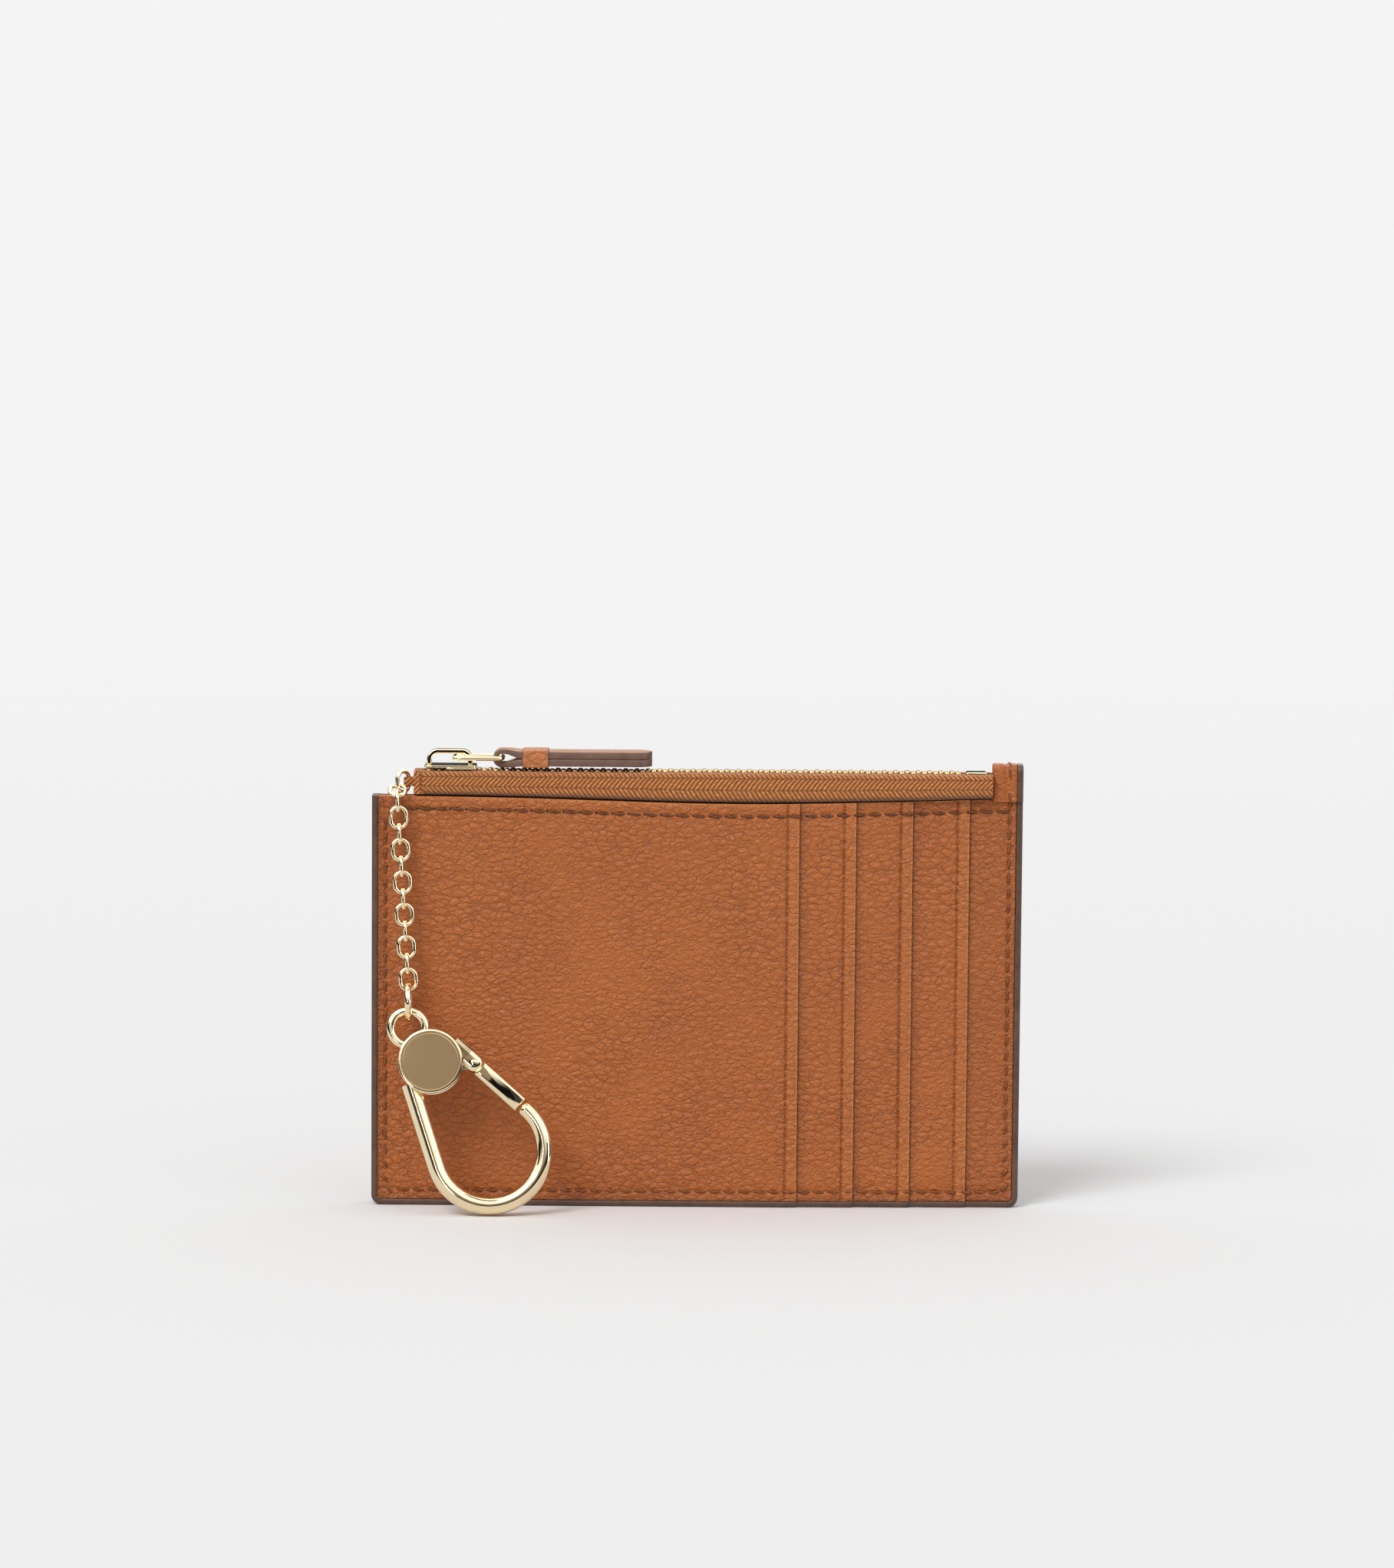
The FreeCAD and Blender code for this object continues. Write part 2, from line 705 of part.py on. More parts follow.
pivot = Vector(value("pivot_x"), 0, -value("pivot_drop"))
pivot_angle = math.degrees(math.atan2(value("pivot_drop"), value("pivot_x")))
ears, arms = [], []
for name, y in (("front", "-frame_half"), ("back", "ear_inner")):
    ears.append(rod(f"{name}_ear", "ear_radius", "frame_half - ear_inner", face_turn, "pivot_x", y, "-pivot_drop"))
    arm = doc.addObject("Part::Box", f"{name}_arm")
    bind(arm, Length="pivot_x", Width="frame_half - ear_inner", Height="2*ear_radius")
    arm_turn = Rotation(Vector(0, 1, 0), pivot_angle)
    start = arm_turn.multVec(Vector(value("arm_start"), 0, -value("ear_radius")))
    arm.Placement = Placement(Vector(start.x, value(y), start.z), arm_turn)
    arms.append(arm)
hub = rod("hub", "hub_radius", "2*frame_half", face_turn, "0", "-frame_half", "0")
frame_solid = joined("clip_frame_solid", [hub, eye_ring, bow, spine] + ears + arms)
frame_bores = joined(
    "clip_frame_bores",
    [
        rod("pivot_bore", "pivot_radius", "2*frame_half + 2", face_turn, "pivot_x", "-frame_half - 1", "-pivot_drop"),
        rod("rivet_bore", "rivet_radius", "2*frame_half + 2", face_turn, "0", "-frame_half - 1", "0"),
    ],
)
clip_node("clip_frame", without("clip_frame_cut", frame_solid, frame_bores))

for name, turn_cap in (("clip_cap_front", 90), ("clip_cap_back", -90)):
    cap_body = doc.addObject("PartDesign::Body", f"{name}_body")
    disc = [
        ("0", "frame_half"), ("cap_radius", "frame_half"), ("cap_radius", "frame_half + cap_thick - cap_step"),
        ("cap_radius - cap_bevel", "frame_half + cap_thick"), ("cap_radius - cap_rim", "frame_half + cap_thick"),
        ("cap_radius - cap_rim - cap_bevel", "frame_half + cap_thick - cap_step"), ("0", "frame_half + cap_thick - cap_step"),
    ]
    origin = next(f for f in cap_body.Origin.OriginFeatures if f.Role == "XZ_Plane")
    sketch = cap_body.newObject("Sketcher::SketchObject", f"{name}_outline")
    sketch.AttachmentSupport = [(origin, "")]
    sketch.MapMode = "FlatFace"
    draw(sketch, disc)
    spun = cap_body.newObject("PartDesign::Revolution", f"{name}_spun")
    spun.Profile = sketch
    spun.ReferenceAxis = (sketch, ["V_Axis"])
    spun.Angle = 360
    cap_body.Placement = Placement(Vector(), Rotation(Vector(1, 0, 0), turn_cap))
    clip_node(name, cap_body)

for name, rod_radius, x, z in (
    ("clip_rivet", "rivet_radius", "0", "0"),
    ("gate_pin", "pivot_radius", "pivot_x", "-pivot_drop"),
):
    held = doc.addObject("Part::Compound", f"{name}_held")
    held.Links = [rod(f"{name}_rod", rod_radius, "2*frame_half", face_turn, x, "-frame_half", z)]
    clip_node(name, held)


# ---- gate: a bar from the pin down to the nose, and its spring ------------------------------------

nose = math.radians(value("nose_angle"))
nose_tip = Vector(math.cos(nose) * value("bow_bend"), 0, math.sin(nose) * value("bow_bend") - value("bow_drop"))
gate_line = nose_tip - pivot
gate_length = gate_line.Length - value("gate_gap")
gate_turn = Rotation(Vector(0, 0, -1), gate_line)
gate_place = Placement(pivot, gate_turn)
bar = block(
    "gate_bar", ("-gate_width/2", "gate_width/2"), ("-frame_half", "frame_half"),
    (f"-{gate_length}", "-gate_start"),
)
tongue_x = ("-knuckle_radius + 0.1", "knuckle_radius - 0.1")
tongue = block("gate_tongue", tongue_x, ("-knuckle_half", "knuckle_half"), ("-gate_start - 0.5", "0"))
knuckle = rod("gate_knuckle", "knuckle_radius", "2*knuckle_half", face_turn, "0", "-knuckle_half", "0")
gate_bore = rod(
    "gate_bore", "pivot_radius + pivot_play", "2*knuckle_half + 2", face_turn, "0", "-knuckle_half - 1", "0"
)
gate = without("gate_cut", joined("gate_solid", [bar, tongue, knuckle]), gate_bore)
gate.Placement = gate_place
clip_node("clip_gate", gate)

spring_turn = math.radians(value("spring_angle"))
spring_way = Vector(math.cos(spring_turn), 0, -math.sin(spring_turn))
spring_start = Vector(value("spring_x"), 0, -value("spring_drop"))
helix = doc.addObject("Part::Helix", "spring_path")
bind(helix, Radius="spring_radius", Pitch="2*spring_wire", Height="spring_length")
wire_round = doc.addObject("Part::Circle", "spring_round")
bind(wire_round, Radius="spring_wire/2", Base_x="spring_radius")
wire_round.Placement = Placement(Vector(value("spring_radius"), 0, 0), Rotation(Vector(1, 0, 0), 90))
spring = doc.addObject("Part::Sweep", "spring_sweep")
spring.Sections = [wire_round]
spring.Spine = (helix, ["Edge1"])
spring.Solid = True
spring.Frenet = True
spring.Placement = Placement(spring_start, Rotation(Vector(0, 0, 1), spring_way))
clip_node("gate_spring", spring)


# ---- check and write ------------------------------------------------------------------------------

doc.recompute()
faults = [o.Name for o in doc.Objects if "Invalid" in o.State or "Error" in o.State]
faults += [o.Label for o in nodes if o.Shape.isNull() or not o.Shape.isValid() or not o.Shape.Solids]
if faults:
    raise SystemExit(f"failed objects: {faults}")
os.makedirs("parts", exist_ok=True)
for thing in nodes:
    thing.Shape.exportStep(f"parts/{thing.Label}.step")
print(len(nodes), "nodes written")
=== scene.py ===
import math

import bmesh
import bpy
from mathutils import Matrix, Vector, noise


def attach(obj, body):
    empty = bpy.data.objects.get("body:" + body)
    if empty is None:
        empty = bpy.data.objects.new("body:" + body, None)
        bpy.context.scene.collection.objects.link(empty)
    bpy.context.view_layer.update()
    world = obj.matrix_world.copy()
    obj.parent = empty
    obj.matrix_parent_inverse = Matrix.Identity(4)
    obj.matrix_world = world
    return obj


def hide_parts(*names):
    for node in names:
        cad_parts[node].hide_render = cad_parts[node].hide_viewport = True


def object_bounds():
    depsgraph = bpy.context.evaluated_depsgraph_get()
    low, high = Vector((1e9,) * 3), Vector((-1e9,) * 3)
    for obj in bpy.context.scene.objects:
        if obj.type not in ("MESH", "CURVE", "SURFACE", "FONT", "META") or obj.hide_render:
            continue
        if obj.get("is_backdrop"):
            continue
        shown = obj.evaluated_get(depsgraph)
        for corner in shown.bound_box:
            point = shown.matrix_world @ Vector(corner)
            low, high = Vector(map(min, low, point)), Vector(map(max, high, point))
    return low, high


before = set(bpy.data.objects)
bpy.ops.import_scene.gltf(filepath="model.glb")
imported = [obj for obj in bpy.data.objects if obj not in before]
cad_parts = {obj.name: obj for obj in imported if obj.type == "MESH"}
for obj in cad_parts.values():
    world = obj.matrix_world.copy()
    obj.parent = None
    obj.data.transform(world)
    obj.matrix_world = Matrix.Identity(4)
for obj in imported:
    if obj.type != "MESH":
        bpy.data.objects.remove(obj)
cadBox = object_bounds()

mm = 0.001


# node helpers: an input is a number, a colour or another node's socket

def put(tree, kind, inputs=None, **settings):
    made = tree.nodes.new(kind)
    for key, setting in settings.items():
        setattr(made, key, setting)
    for key, given in (inputs or {}).items():
        if isinstance(given, bpy.types.NodeSocket):
            tree.links.new(given, made.inputs[key])
        else:
            made.inputs[key].default_value = given
    return made


def sums(tree, how, first, second=0.0, third=0.0):
    inputs = {0: first, 1: second}
    if how == "MULTIPLY_ADD":
        inputs[2] = third
    return put(tree, "ShaderNodeMath", inputs, operation=how).outputs[0]


def span(tree, given, fromLow, fromHigh, toLow=0.0, toHigh=1.0):
    inputs = {"Value": given, "From Min": fromLow, "From Max": fromHigh, "To Min": toLow, "To Max": toHigh}
    return put(tree, "ShaderNodeMapRange", inputs).outputs["Result"]


def mixColours(tree, share, first, second, how="MIX"):
    mixer = put(tree, "ShaderNodeMix", data_type="RGBA", blend_type=how)
    for socket, given in ((mixer.inputs[0], share), (mixer.inputs[6], first), (mixer.inputs[7], second)):
        if isinstance(given, bpy.types.NodeSocket):
            tree.links.new(given, socket)
        elif isinstance(given, tuple):
            socket.default_value = (*given, 1)
        else:
            socket.default_value = given
    return mixer.outputs[2]


def newGroup(name, inputs, outputs):
    tree = bpy.data.node_groups.new(name, "ShaderNodeTree")
    for label, start in inputs.items():
        kind = "NodeSocketVector" if start is None else "NodeSocketFloat"
        socket = tree.interface.new_socket(label, in_out="INPUT", socket_type=kind)
        if start is not None:
            socket.default_value = start
    for label in outputs:
        tree.interface.new_socket(label, in_out="OUTPUT", socket_type="NodeSocketFloat")
    return tree, tree.nodes.new("NodeGroupInput").outputs, tree.nodes.new("NodeGroupOutput").inputs


def shifted(tree, place, drift, amount):
    centred = put(tree, "ShaderNodeVectorMath", {0: drift, 1: (0.5, 0.5, 0.5)}, operation="SUBTRACT")
    small = put(tree, "ShaderNodeVectorMath", {0: centred.outputs[0], "Scale": amount}, operation="SCALE")
    return put(tree, "ShaderNodeVectorMath", {0: place, 1: small.outputs[0]}, operation="ADD").outputs[0]


def noiseOf(tree, place, scale, detail=2.0, rough=0.5):
    inputs = {"Vector": place, "Scale": scale, "Detail": detail, "Roughness": rough}
    return put(tree, "ShaderNodeTexNoise", inputs).outputs


def cellLines(tree, place, scale):
    inputs = {"Vector": place, "Scale": scale, "Randomness": 0.95}
    return put(tree, "ShaderNodeTexVoronoi", inputs, feature="DISTANCE_TO_EDGE").outputs["Distance"]


def domes(tree, place, scale):
    inputs = {"Vector": place, "Scale": scale, "Randomness": 0.95, "Smoothness": 0.3}
    distance = put(tree, "ShaderNodeTexVoronoi", inputs, feature="SMOOTH_F1").outputs["Distance"]
    return span(tree, distance, 0.68, 0.12)


def buildGrain():
    # flat pebbles parted by folds that fade in and out, wrinkles, a finer grain, and slow mottling
    inputs = {"Vector": None, "Pebbles": 760.0, "Fine": 1700.0}
    tree, given, out = newGroup("leatherGrain", inputs, ["Height", "Mottle", "Crease"])
    drift = noiseOf(tree, given["Vector"], 520.0, 3.0)["Color"]
    bent = shifted(tree, given["Vector"], drift, 0.0011)
    stretched = put(tree, "ShaderNodeMapping", {"Vector": bent, "Scale": (0.66, 1.0, 1.12)}).outputs[0]
    folded = domes(tree, stretched, given["Pebbles"])
    patchy = span(tree, noiseOf(tree, given["Vector"], 70.0, 3.0)[0], 0.42, 0.7, 0.0, 0.55)
    folded = sums(tree, "MAXIMUM", folded, patchy)
    pebble = domes(tree, bent, given["Fine"])
    fine = noiseOf(tree, given["Vector"], 5200.0)[0]
    lines = sums(tree, "MAXIMUM", span(tree, cellLines(tree, stretched, given["Pebbles"]), 0.0, 0.11), patchy)
    wrinkled = put(tree, "ShaderNodeMapping", {"Vector": bent, "Scale": (0.45, 1.0, 1.0)}).outputs[0]
    wrinkles = sums(tree, "ABSOLUTE", sums(tree, "SUBTRACT", noiseOf(tree, wrinkled, 420.0, 2.0)[0], 0.5))
    wrinkles = span(tree, wrinkles, 0.0, 0.035)
    folded = sums(tree, "MULTIPLY_ADD", folded, 0.5, sums(tree, "MULTIPLY", lines, 0.35))
    folded = sums(tree, "MULTIPLY_ADD", wrinkles, 0.15, folded)
    height = sums(tree, "MULTIPLY_ADD", folded, 0.62, sums(tree, "MULTIPLY", pebble, 0.22))
    tree.links.new(sums(tree, "MULTIPLY_ADD", fine, 0.22, height), out["Height"])
    tree.links.new(span(tree, noiseOf(tree, given["Vector"], 40.0, 5.0, 0.6)[0], 0.2, 0.8), out["Mottle"])
    tree.links.new(folded, out["Crease"])
    return tree


def buildWeave():
    # slanting yarns whose lean flips from one band to the next, with painted glints on patches of the yarns
    tree, given, out = newGroup("slantWeave", {"Vector": None, "Yarn": 0.42, "Band": 1.35}, ["Height", "PaintedGlint"])
    parts = put(tree, "ShaderNodeSeparateXYZ", {0: given["Vector"]}).outputs
    bands = sums(tree, "DIVIDE", parts[1], given["Band"])
    lean = sums(tree, "MULTIPLY", sums(tree, "PINGPONG", bands, 1.0), given["Band"])
    turns = sums(tree, "DIVIDE", sums(tree, "ADD", parts[0], lean), given["Yarn"])
    yarn = sums(tree, "ABSOLUTE", sums(tree, "SINE", sums(tree, "MULTIPLY", turns, math.pi)))
    seam = sums(tree, "ABSOLUTE", sums(tree, "SUBTRACT", sums(tree, "FRACT", bands), 0.5))
    rise = sums(tree, "MULTIPLY", sums(tree, "POWER", yarn, 0.6), span(tree, seam, 0.5, 0.4, 0.45, 1.0))
    tree.links.new(sums(tree, "MULTIPLY_ADD", noiseOf(tree, given["Vector"], 3.2, 3.0)[0], 0.4, rise), out["Height"])
    stretched = put(tree, "ShaderNodeMapping", {"Vector": given["Vector"], "Scale": (1.1, 2.4, 1.0)}).outputs[0]
    glintPatches = span(tree, noiseOf(tree, stretched, 1.3, 4.0, 0.7)[0], 0.5, 0.68)
    tree.links.new(sums(tree, "MULTIPLY", glintPatches, yarn), out["PaintedGlint"])
    return tree


def buildPolish():
    # faint handling marks in the roughness and very fine hairlines
    inputs = {"Vector": None, "Smooth": 0.12, "Worn": 0.12}
    tree, given, out = newGroup("polishedMetal", inputs, ["Roughness", "Height", "Tarnish"])
    smudge = span(tree, noiseOf(tree, given["Vector"], 260.0, 5.0, 0.65)[0], 0.35, 0.75)
    tree.links.new(sums(tree, "MULTIPLY_ADD", smudge, given["Worn"], given["Smooth"]), out["Roughness"])
    inputs = {"Vector": given["Vector"], "Rotation": (0.3, 0.7, 0.2), "Scale": (1.0, 9.0, 9.0)}
    stretched = put(tree, "ShaderNodeMapping", inputs).outputs[0]
    tree.links.new(noiseOf(tree, stretched, 900.0)[0], out["Height"])
    tree.links.new(smudge, out["Tarnish"])
    return tree


grainTree, weaveTree, polishTree = buildGrain(), buildWeave(), buildPolish()


def startMaterial(name, **settings):
    material = bpy.data.materials.new(name)
    material.use_nodes = True
    tree = material.node_tree
    shader = tree.nodes["Principled BSDF"]
    for key, given in settings.items():
        shader.inputs[key.replace("_", " ")].default_value = given
    return material, tree, shader.inputs


def bump(tree, skin, height, depth):
    inputs = {"Height": height, "Strength": 1.0, "Distance": depth}
    tree.links.new(put(tree, "ShaderNodeBump", inputs).outputs[0], skin["Normal"])


def place(tree, kind="Object"):
    return put(tree, "ShaderNodeTexCoord").outputs[kind]


def darker(colour, share):
    return tuple(c * share for c in colour)


def leatherMaterial(name, low, high, lip, depth=0.0005, rough=0.38, pebbles=760.0):
    # low and high are the mottled colours, lip the paler colour where edges are rubbed and where painted highlight lies
    # on the rolled lips
    material, tree, skin = startMaterial(name, Specular_IOR_Level=0.44)
    grain = put(tree, "ShaderNodeGroup", node_tree=grainTree)
    tree.links.new(place(tree), grain.inputs["Vector"])
    grain.inputs["Pebbles"].default_value = pebbles
    wearAndHighlight = put(tree, "ShaderNodeAttribute", attribute_name="wearAndHighlight").outputs["Fac"]
    shade = put(tree, "ShaderNodeAttribute", attribute_name="shade").outputs["Fac"]
    colour = mixColours(tree, grain.outputs["Mottle"], low, high)
    folds = span(tree, grain.outputs["Crease"], 0.05, 0.6, 0.45, 0.0)
    colour = mixColours(tree, folds, colour, darker(low, 0.45))
    hollows = span(tree, grain.outputs["Height"], 0.3, 0.8, 0.12, 0.0)
    colour = mixColours(tree, hollows, colour, darker(low, 0.5))
    # paler where edges are rubbed, with painted highlight on the rolled top and slot lips
    colour = mixColours(tree, wearAndHighlight, colour, lip)
    # the shade attribute darkens the leather: painted shadow beside slot lips and in crease lines, painted shade over
    # the base panel, and darkening towards the left and bottom edges
    colour = mixColours(tree, shade, colour, darker(low, 0.3))
    tree.links.new(colour, skin["Base Color"])
    tree.links.new(span(tree, grain.outputs["Height"], 0.2, 1.1, rough + 0.12, rough - 0.06), skin["Roughness"])
    bump(tree, skin, grain.outputs["Height"], depth)
    return material


def metalMaterial(name, bright, dull, smooth=0.1, worn=0.12):
    material, tree, skin = startMaterial(name, Metallic=1.0)
    polish = put(tree, "ShaderNodeGroup", node_tree=polishTree)
    tree.links.new(place(tree), polish.inputs["Vector"])
    polish.inputs["Smooth"].default_value = smooth
    polish.inputs["Worn"].default_value = worn
    share = span(tree, polish.outputs["Tarnish"], 0.0, 1.0, 0.0, 0.55)
    tree.links.new(mixColours(tree, share, bright, dull), skin["Base Color"])
    tree.links.new(polish.outputs["Roughness"], skin["Roughness"])
    bump(tree, skin, polish.outputs["Height"], 0.0000004)
    return material


def clothMaterial(name, low, high, glint, yarn, band, depth, where="UV", rough=0.8):
    material, tree, skin = startMaterial(
        name, Sheen_Weight=0.25, Sheen_Roughness=0.5, Specular_IOR_Level=0.25, Roughness=rough,
    )
    weave = put(tree, "ShaderNodeGroup", node_tree=weaveTree)
    spot = place(tree, where)
    if where == "Object":
        inputs = {"Vector": spot, "Rotation": (-math.pi / 2, 0, 0), "Scale": (1000, 1000, 1000)}
        spot = put(tree, "ShaderNodeMapping", inputs).outputs[0]
    tree.links.new(spot, weave.inputs["Vector"])
    weave.inputs["Yarn"].default_value = yarn
    weave.inputs["Band"].default_value = band
    shade = put(tree, "ShaderNodeAttribute", attribute_name="shade").outputs["Fac"]
    # yarn crests take the high colour and the grooves the low colour, a painted shade and highlight across the weave,
    # then painted glints in the glint colour on patches of yarn
    colour = mixColours(tree, span(tree, weave.outputs["Height"], 0.2, 1.2), low, high)
    colour = mixColours(tree, weave.outputs["PaintedGlint"], colour, glint)
    # painted shade from the shade attribute
    colour = mixColours(tree, shade, colour, darker(low, 0.45))
    tree.links.new(colour, skin["Base Color"])
    bump(tree, skin, weave.outputs["Height"], depth)
    return material


def paintMaterial(name, low, high, rough=0.34):
    material, tree, skin = startMaterial(name, Specular_IOR_Level=0.45)
    spot = place(tree)
    uneven = noiseOf(tree, spot, 420.0, 4.0)[0]
    tree.links.new(mixColours(tree, span(tree, uneven, 0.3, 0.7), low, high), skin["Base Color"])
    tree.links.new(span(tree, noiseOf(tree, spot, 1300.0, 3.0)[0], 0.3, 0.7, rough, rough + 0.2), skin["Roughness"])
    bump(tree, skin, uneven, 0.00009)
    return material


def threadMaterial(name, low, high):
    material, tree, skin = startMaterial(name, Roughness=0.5, Specular_IOR_Level=0.3)
    uneven = noiseOf(tree, place(tree), 2600.0, 3.0)[0]
    tree.links.new(mixColours(tree, span(tree, uneven, 0.35, 0.65), low, high), skin["Base Color"])
    bump(tree, skin, uneven, 0.00003)
    return material


leather = leatherMaterial("tanLeather", (0.385, 0.09, 0.007), (0.475, 0.125, 0.011), (0.6, 0.21, 0.05))
pullLeather = leatherMaterial("pullLeather", (0.42, 0.16, 0.055), (0.52, 0.21, 0.08), (0.66, 0.36, 0.18))
keeperLeather = leatherMaterial("keeperLeather", (0.46, 0.135, 0.03), (0.58, 0.19, 0.05), (0.7, 0.33, 0.13))
edgePaint = paintMaterial("brownEdgePaint", (0.075, 0.036, 0.021), (0.12, 0.062, 0.038))
taupePaint = paintMaterial("taupeEdgePaint", (0.13, 0.068, 0.046), (0.19, 0.105, 0.075))
tapeCloth = clothMaterial(
    "zipTapeCloth", (0.1, 0.022, 0.005), (0.6, 0.19, 0.038), (0.9, 0.44, 0.12), yarn=0.92, band=1.8, depth=0.00042,
)
liningCloth = clothMaterial(
    "liningCloth", (0.2, 0.1, 0.045), (0.3, 0.16, 0.08), (0.34, 0.2, 0.1), yarn=0.3, band=0.3, depth=0.00003,
    where="Object",
)
darkThread = threadMaterial("brownThread", (0.085, 0.026, 0.008), (0.2, 0.062, 0.017))
tanThread = threadMaterial("tanThread", (0.13, 0.036, 0.009), (0.28, 0.085, 0.022))
# near-black discs at the stitch holes: painted shade inside the holes
holeDark = startMaterial("stitchHole", Base_Color=(0.02, 0.009, 0.005, 1), Roughness=0.9)[0]
gold = metalMaterial("paleGold", (0.90, 0.77, 0.52), (0.8, 0.64, 0.39), 0.04, 0.06)
teethGold = metalMaterial("agedGoldTeeth", (0.62, 0.45, 0.22), (0.3, 0.19, 0.08), 0.2, 0.2)
steel = metalMaterial("springSteel", (0.55, 0.55, 0.54), (0.42, 0.42, 0.42), 0.25, 0.15)
print("materials ready")


# meshes: points in millimetres, merged, turned outwards, and left at the origin

def makePiece(name, points, faces, materials, uv=None, values=None, faceMaterials=None, sharp=40):
    mesh = bpy.data.meshes.new(name)
    mesh.from_pydata([Vector(p) * mm for p in points], [], faces)
    for material in materials if isinstance(materials, (list, tuple)) else [materials]:
        mesh.materials.append(material)
    if faceMaterials:
        mesh.polygons.foreach_set("material_index", faceMaterials)
    if uv:
        layer = mesh.uv_layers.new(name="UVMap")
        for loop in mesh.loops:
            layer.data[loop.index].uv = uv[loop.vertex_index]
    for label, numbers in (values or {}).items():
        mesh.attributes.new(label, "FLOAT", "POINT").data.foreach_set("value", numbers)
    return finishMesh(name, mesh, sharp)


def finishMesh(name, mesh, sharp=40, merge=2e-6):
    shape = bmesh.new()
    shape.from_mesh(mesh)
    bmesh.ops.remove_doubles(shape, verts=shape.verts, dist=merge)
    bmesh.ops.dissolve_degenerate(shape, edges=shape.edges, dist=1e-8)
    bmesh.ops.recalc_face_normals(shape, faces=shape.faces)
    shape.to_mesh(mesh)
    shape.free()
    mesh.shade_smooth()
    mesh.set_sharp_from_angle(angle=math.radians(sharp))
    return added(name, mesh)


def added(name, content):
    made = bpy.data.objects.new(name, content)
    bpy.context.scene.collection.objects.link(made)
    return made


def withModifiers(piece):
    if piece.modifiers:
        evaluated = piece.evaluated_get(bpy.context.evaluated_depsgraph_get())
        mesh = bpy.data.meshes.new_from_object(evaluated)
        piece.modifiers.clear()
        piece.data = mesh
    return piece


def settle(piece, body, slot, *nodes):
    # modifiers are applied, then the piece joins its body and stands for its solids
    withModifiers(piece)
    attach(piece, body)
    if nodes:
        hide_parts(*nodes)
    return piece


def softened(piece, width, segments=3, angle=30):
    edge = piece.modifiers.new("edge", "BEVEL")
    edge.width = width * mm
    edge.segments = segments
    edge.limit_method = "ANGLE"
    edge.angle_limit = math.radians(angle)
    edge.harden_normals = False
    weight = piece.modifiers.new("flats", "WEIGHTED_NORMAL")
    weight.keep_sharp = False
    return piece


def loft(rings, closed=False, caps=True):
    # rings of equal length, each closed on itself; closed joins the last ring to the first
    count, side = len(rings), len(rings[0])
    points = [p for ring in rings for p in ring]
    faces = []
    for i in range(count if closed else count - 1):
        for j in range(side):
            a, b = i * side + j, i * side + (j + 1) % side
            k = (i + 1) % count * side
            faces.append((a, b, k + (j + 1) % side, k + j))
    if caps and not closed:
        faces += [tuple(range(side)), tuple(range((count - 1) * side, count * side))]
    return points, faces


def tube(path, radius, flat, sides=20, closed=False, depth=1.0):
    # a round bar along a path that lies in the plane across flat; radius may change along it
    rings = []
    for i, spot in enumerate(path):
        before = path[i - 1] if closed or i else path[0]
        after = path[(i + 1) % len(path)] if closed or i < len(path) - 1 else path[-1]
        ahead = (Vector(after) - Vector(before)).normalized()
        out = ahead.cross(Vector(flat)).normalized()
        size = radius(i / (len(path) - 1)) if callable(radius) else radius
        ring = []
        for j in range(sides):
            turn = math.tau * j / sides
            ring.append(Vector(spot) + out * size * math.cos(turn) + Vector(flat) * size * depth * math.sin(turn))
        rings.append(ring)
    return loft(rings, closed)


def arc(centre, radius, start, end, steps, across=(1, 0, 0), up=(0, 0, 1)):
    turns = [math.radians(start + (end - start) * i / steps) for i in range(steps + 1)]
    return [Vector(centre) + Vector(across) * radius * math.cos(t) + Vector(up) * radius * math.sin(t) for t in turns]


def flatArc(centre, radius, start, end, steps):
    # an arc in the XZ plane, as pairs
    return [(p.x, p.z) for p in arc((centre[0], 0, centre[1]), radius, start, end, steps)]


def cornerTurns():
    # the four rounded corners of a bar's section: side, height, and the way out at each step
    found = []
    for side, high, start in ((1, 1, 0), (-1, 1, 90), (-1, -1, 180), (1, -1, 270)):
        for i in range(5):
            turn = math.radians(start + 90 * i / 4)
            found.append((side, high, math.cos(turn), math.sin(turn)))
    return found


def spaced(low, high, step, marks=(), near=(0.12, 0.28, 0.6), ends=(0.04, 0.1, 0.18, 0.3, 0.7)):
    # even places with closer ones by each mark and by both ends
    found = {low, high}
    found.update(low + e for e in ends)
    found.update(high - e for e in ends)
    for m in marks:
        found.update([m] + [m + s * n for n in near for s in (-1, 1)])
    count = round((high - low) / step)
    even = [low + (high - low) * i / count for i in range(1, count)]
    found.update(e for e in even if all(abs(e - f) > step * 0.45 for f in found))
    kept = []
    for spot in sorted(found):
        if low <= spot <= high and (not kept or spot - kept[-1] > 0.02):
            kept.append(spot)
    return kept


def smoothStep(low, high, given):
    t = min(max((given - low) / (high - low), 0), 1)
    return t * t * (3 - 2 * t)


def ridge(given, middle, width):
    return math.exp(-((given - middle) / width) ** 2)


# case body

case = {
    "left": -62.3, "right": 62.3, "bottom": 1.2, "top": 80.6,
    "slotEdges": (19.9, 30.97, 42.04, 53.11), "fronts": (-3.8, -3.25, -2.7, -2.15, -1.6),
    "panelThick": 0.45, "baseBack": -0.8, "backFront": 0.8, "backBack": 1.8,
    "sag": 1.15, "sagMiddle": 8.0, "sagWidth": 36.0, "sagEnd": 45.0,
    "creaseIn": 2.3, "creaseDeep": 0.3, "lipRound": 0.9, "lipDeep": 0.18, "wave": 0.09, "ripple": 0.02,
    "seamTop": 2.4, "seamDeep": 0.16,
    "seamLeft": -60.8, "seamRight": 60.9, "seamBottom": 3.1,
}


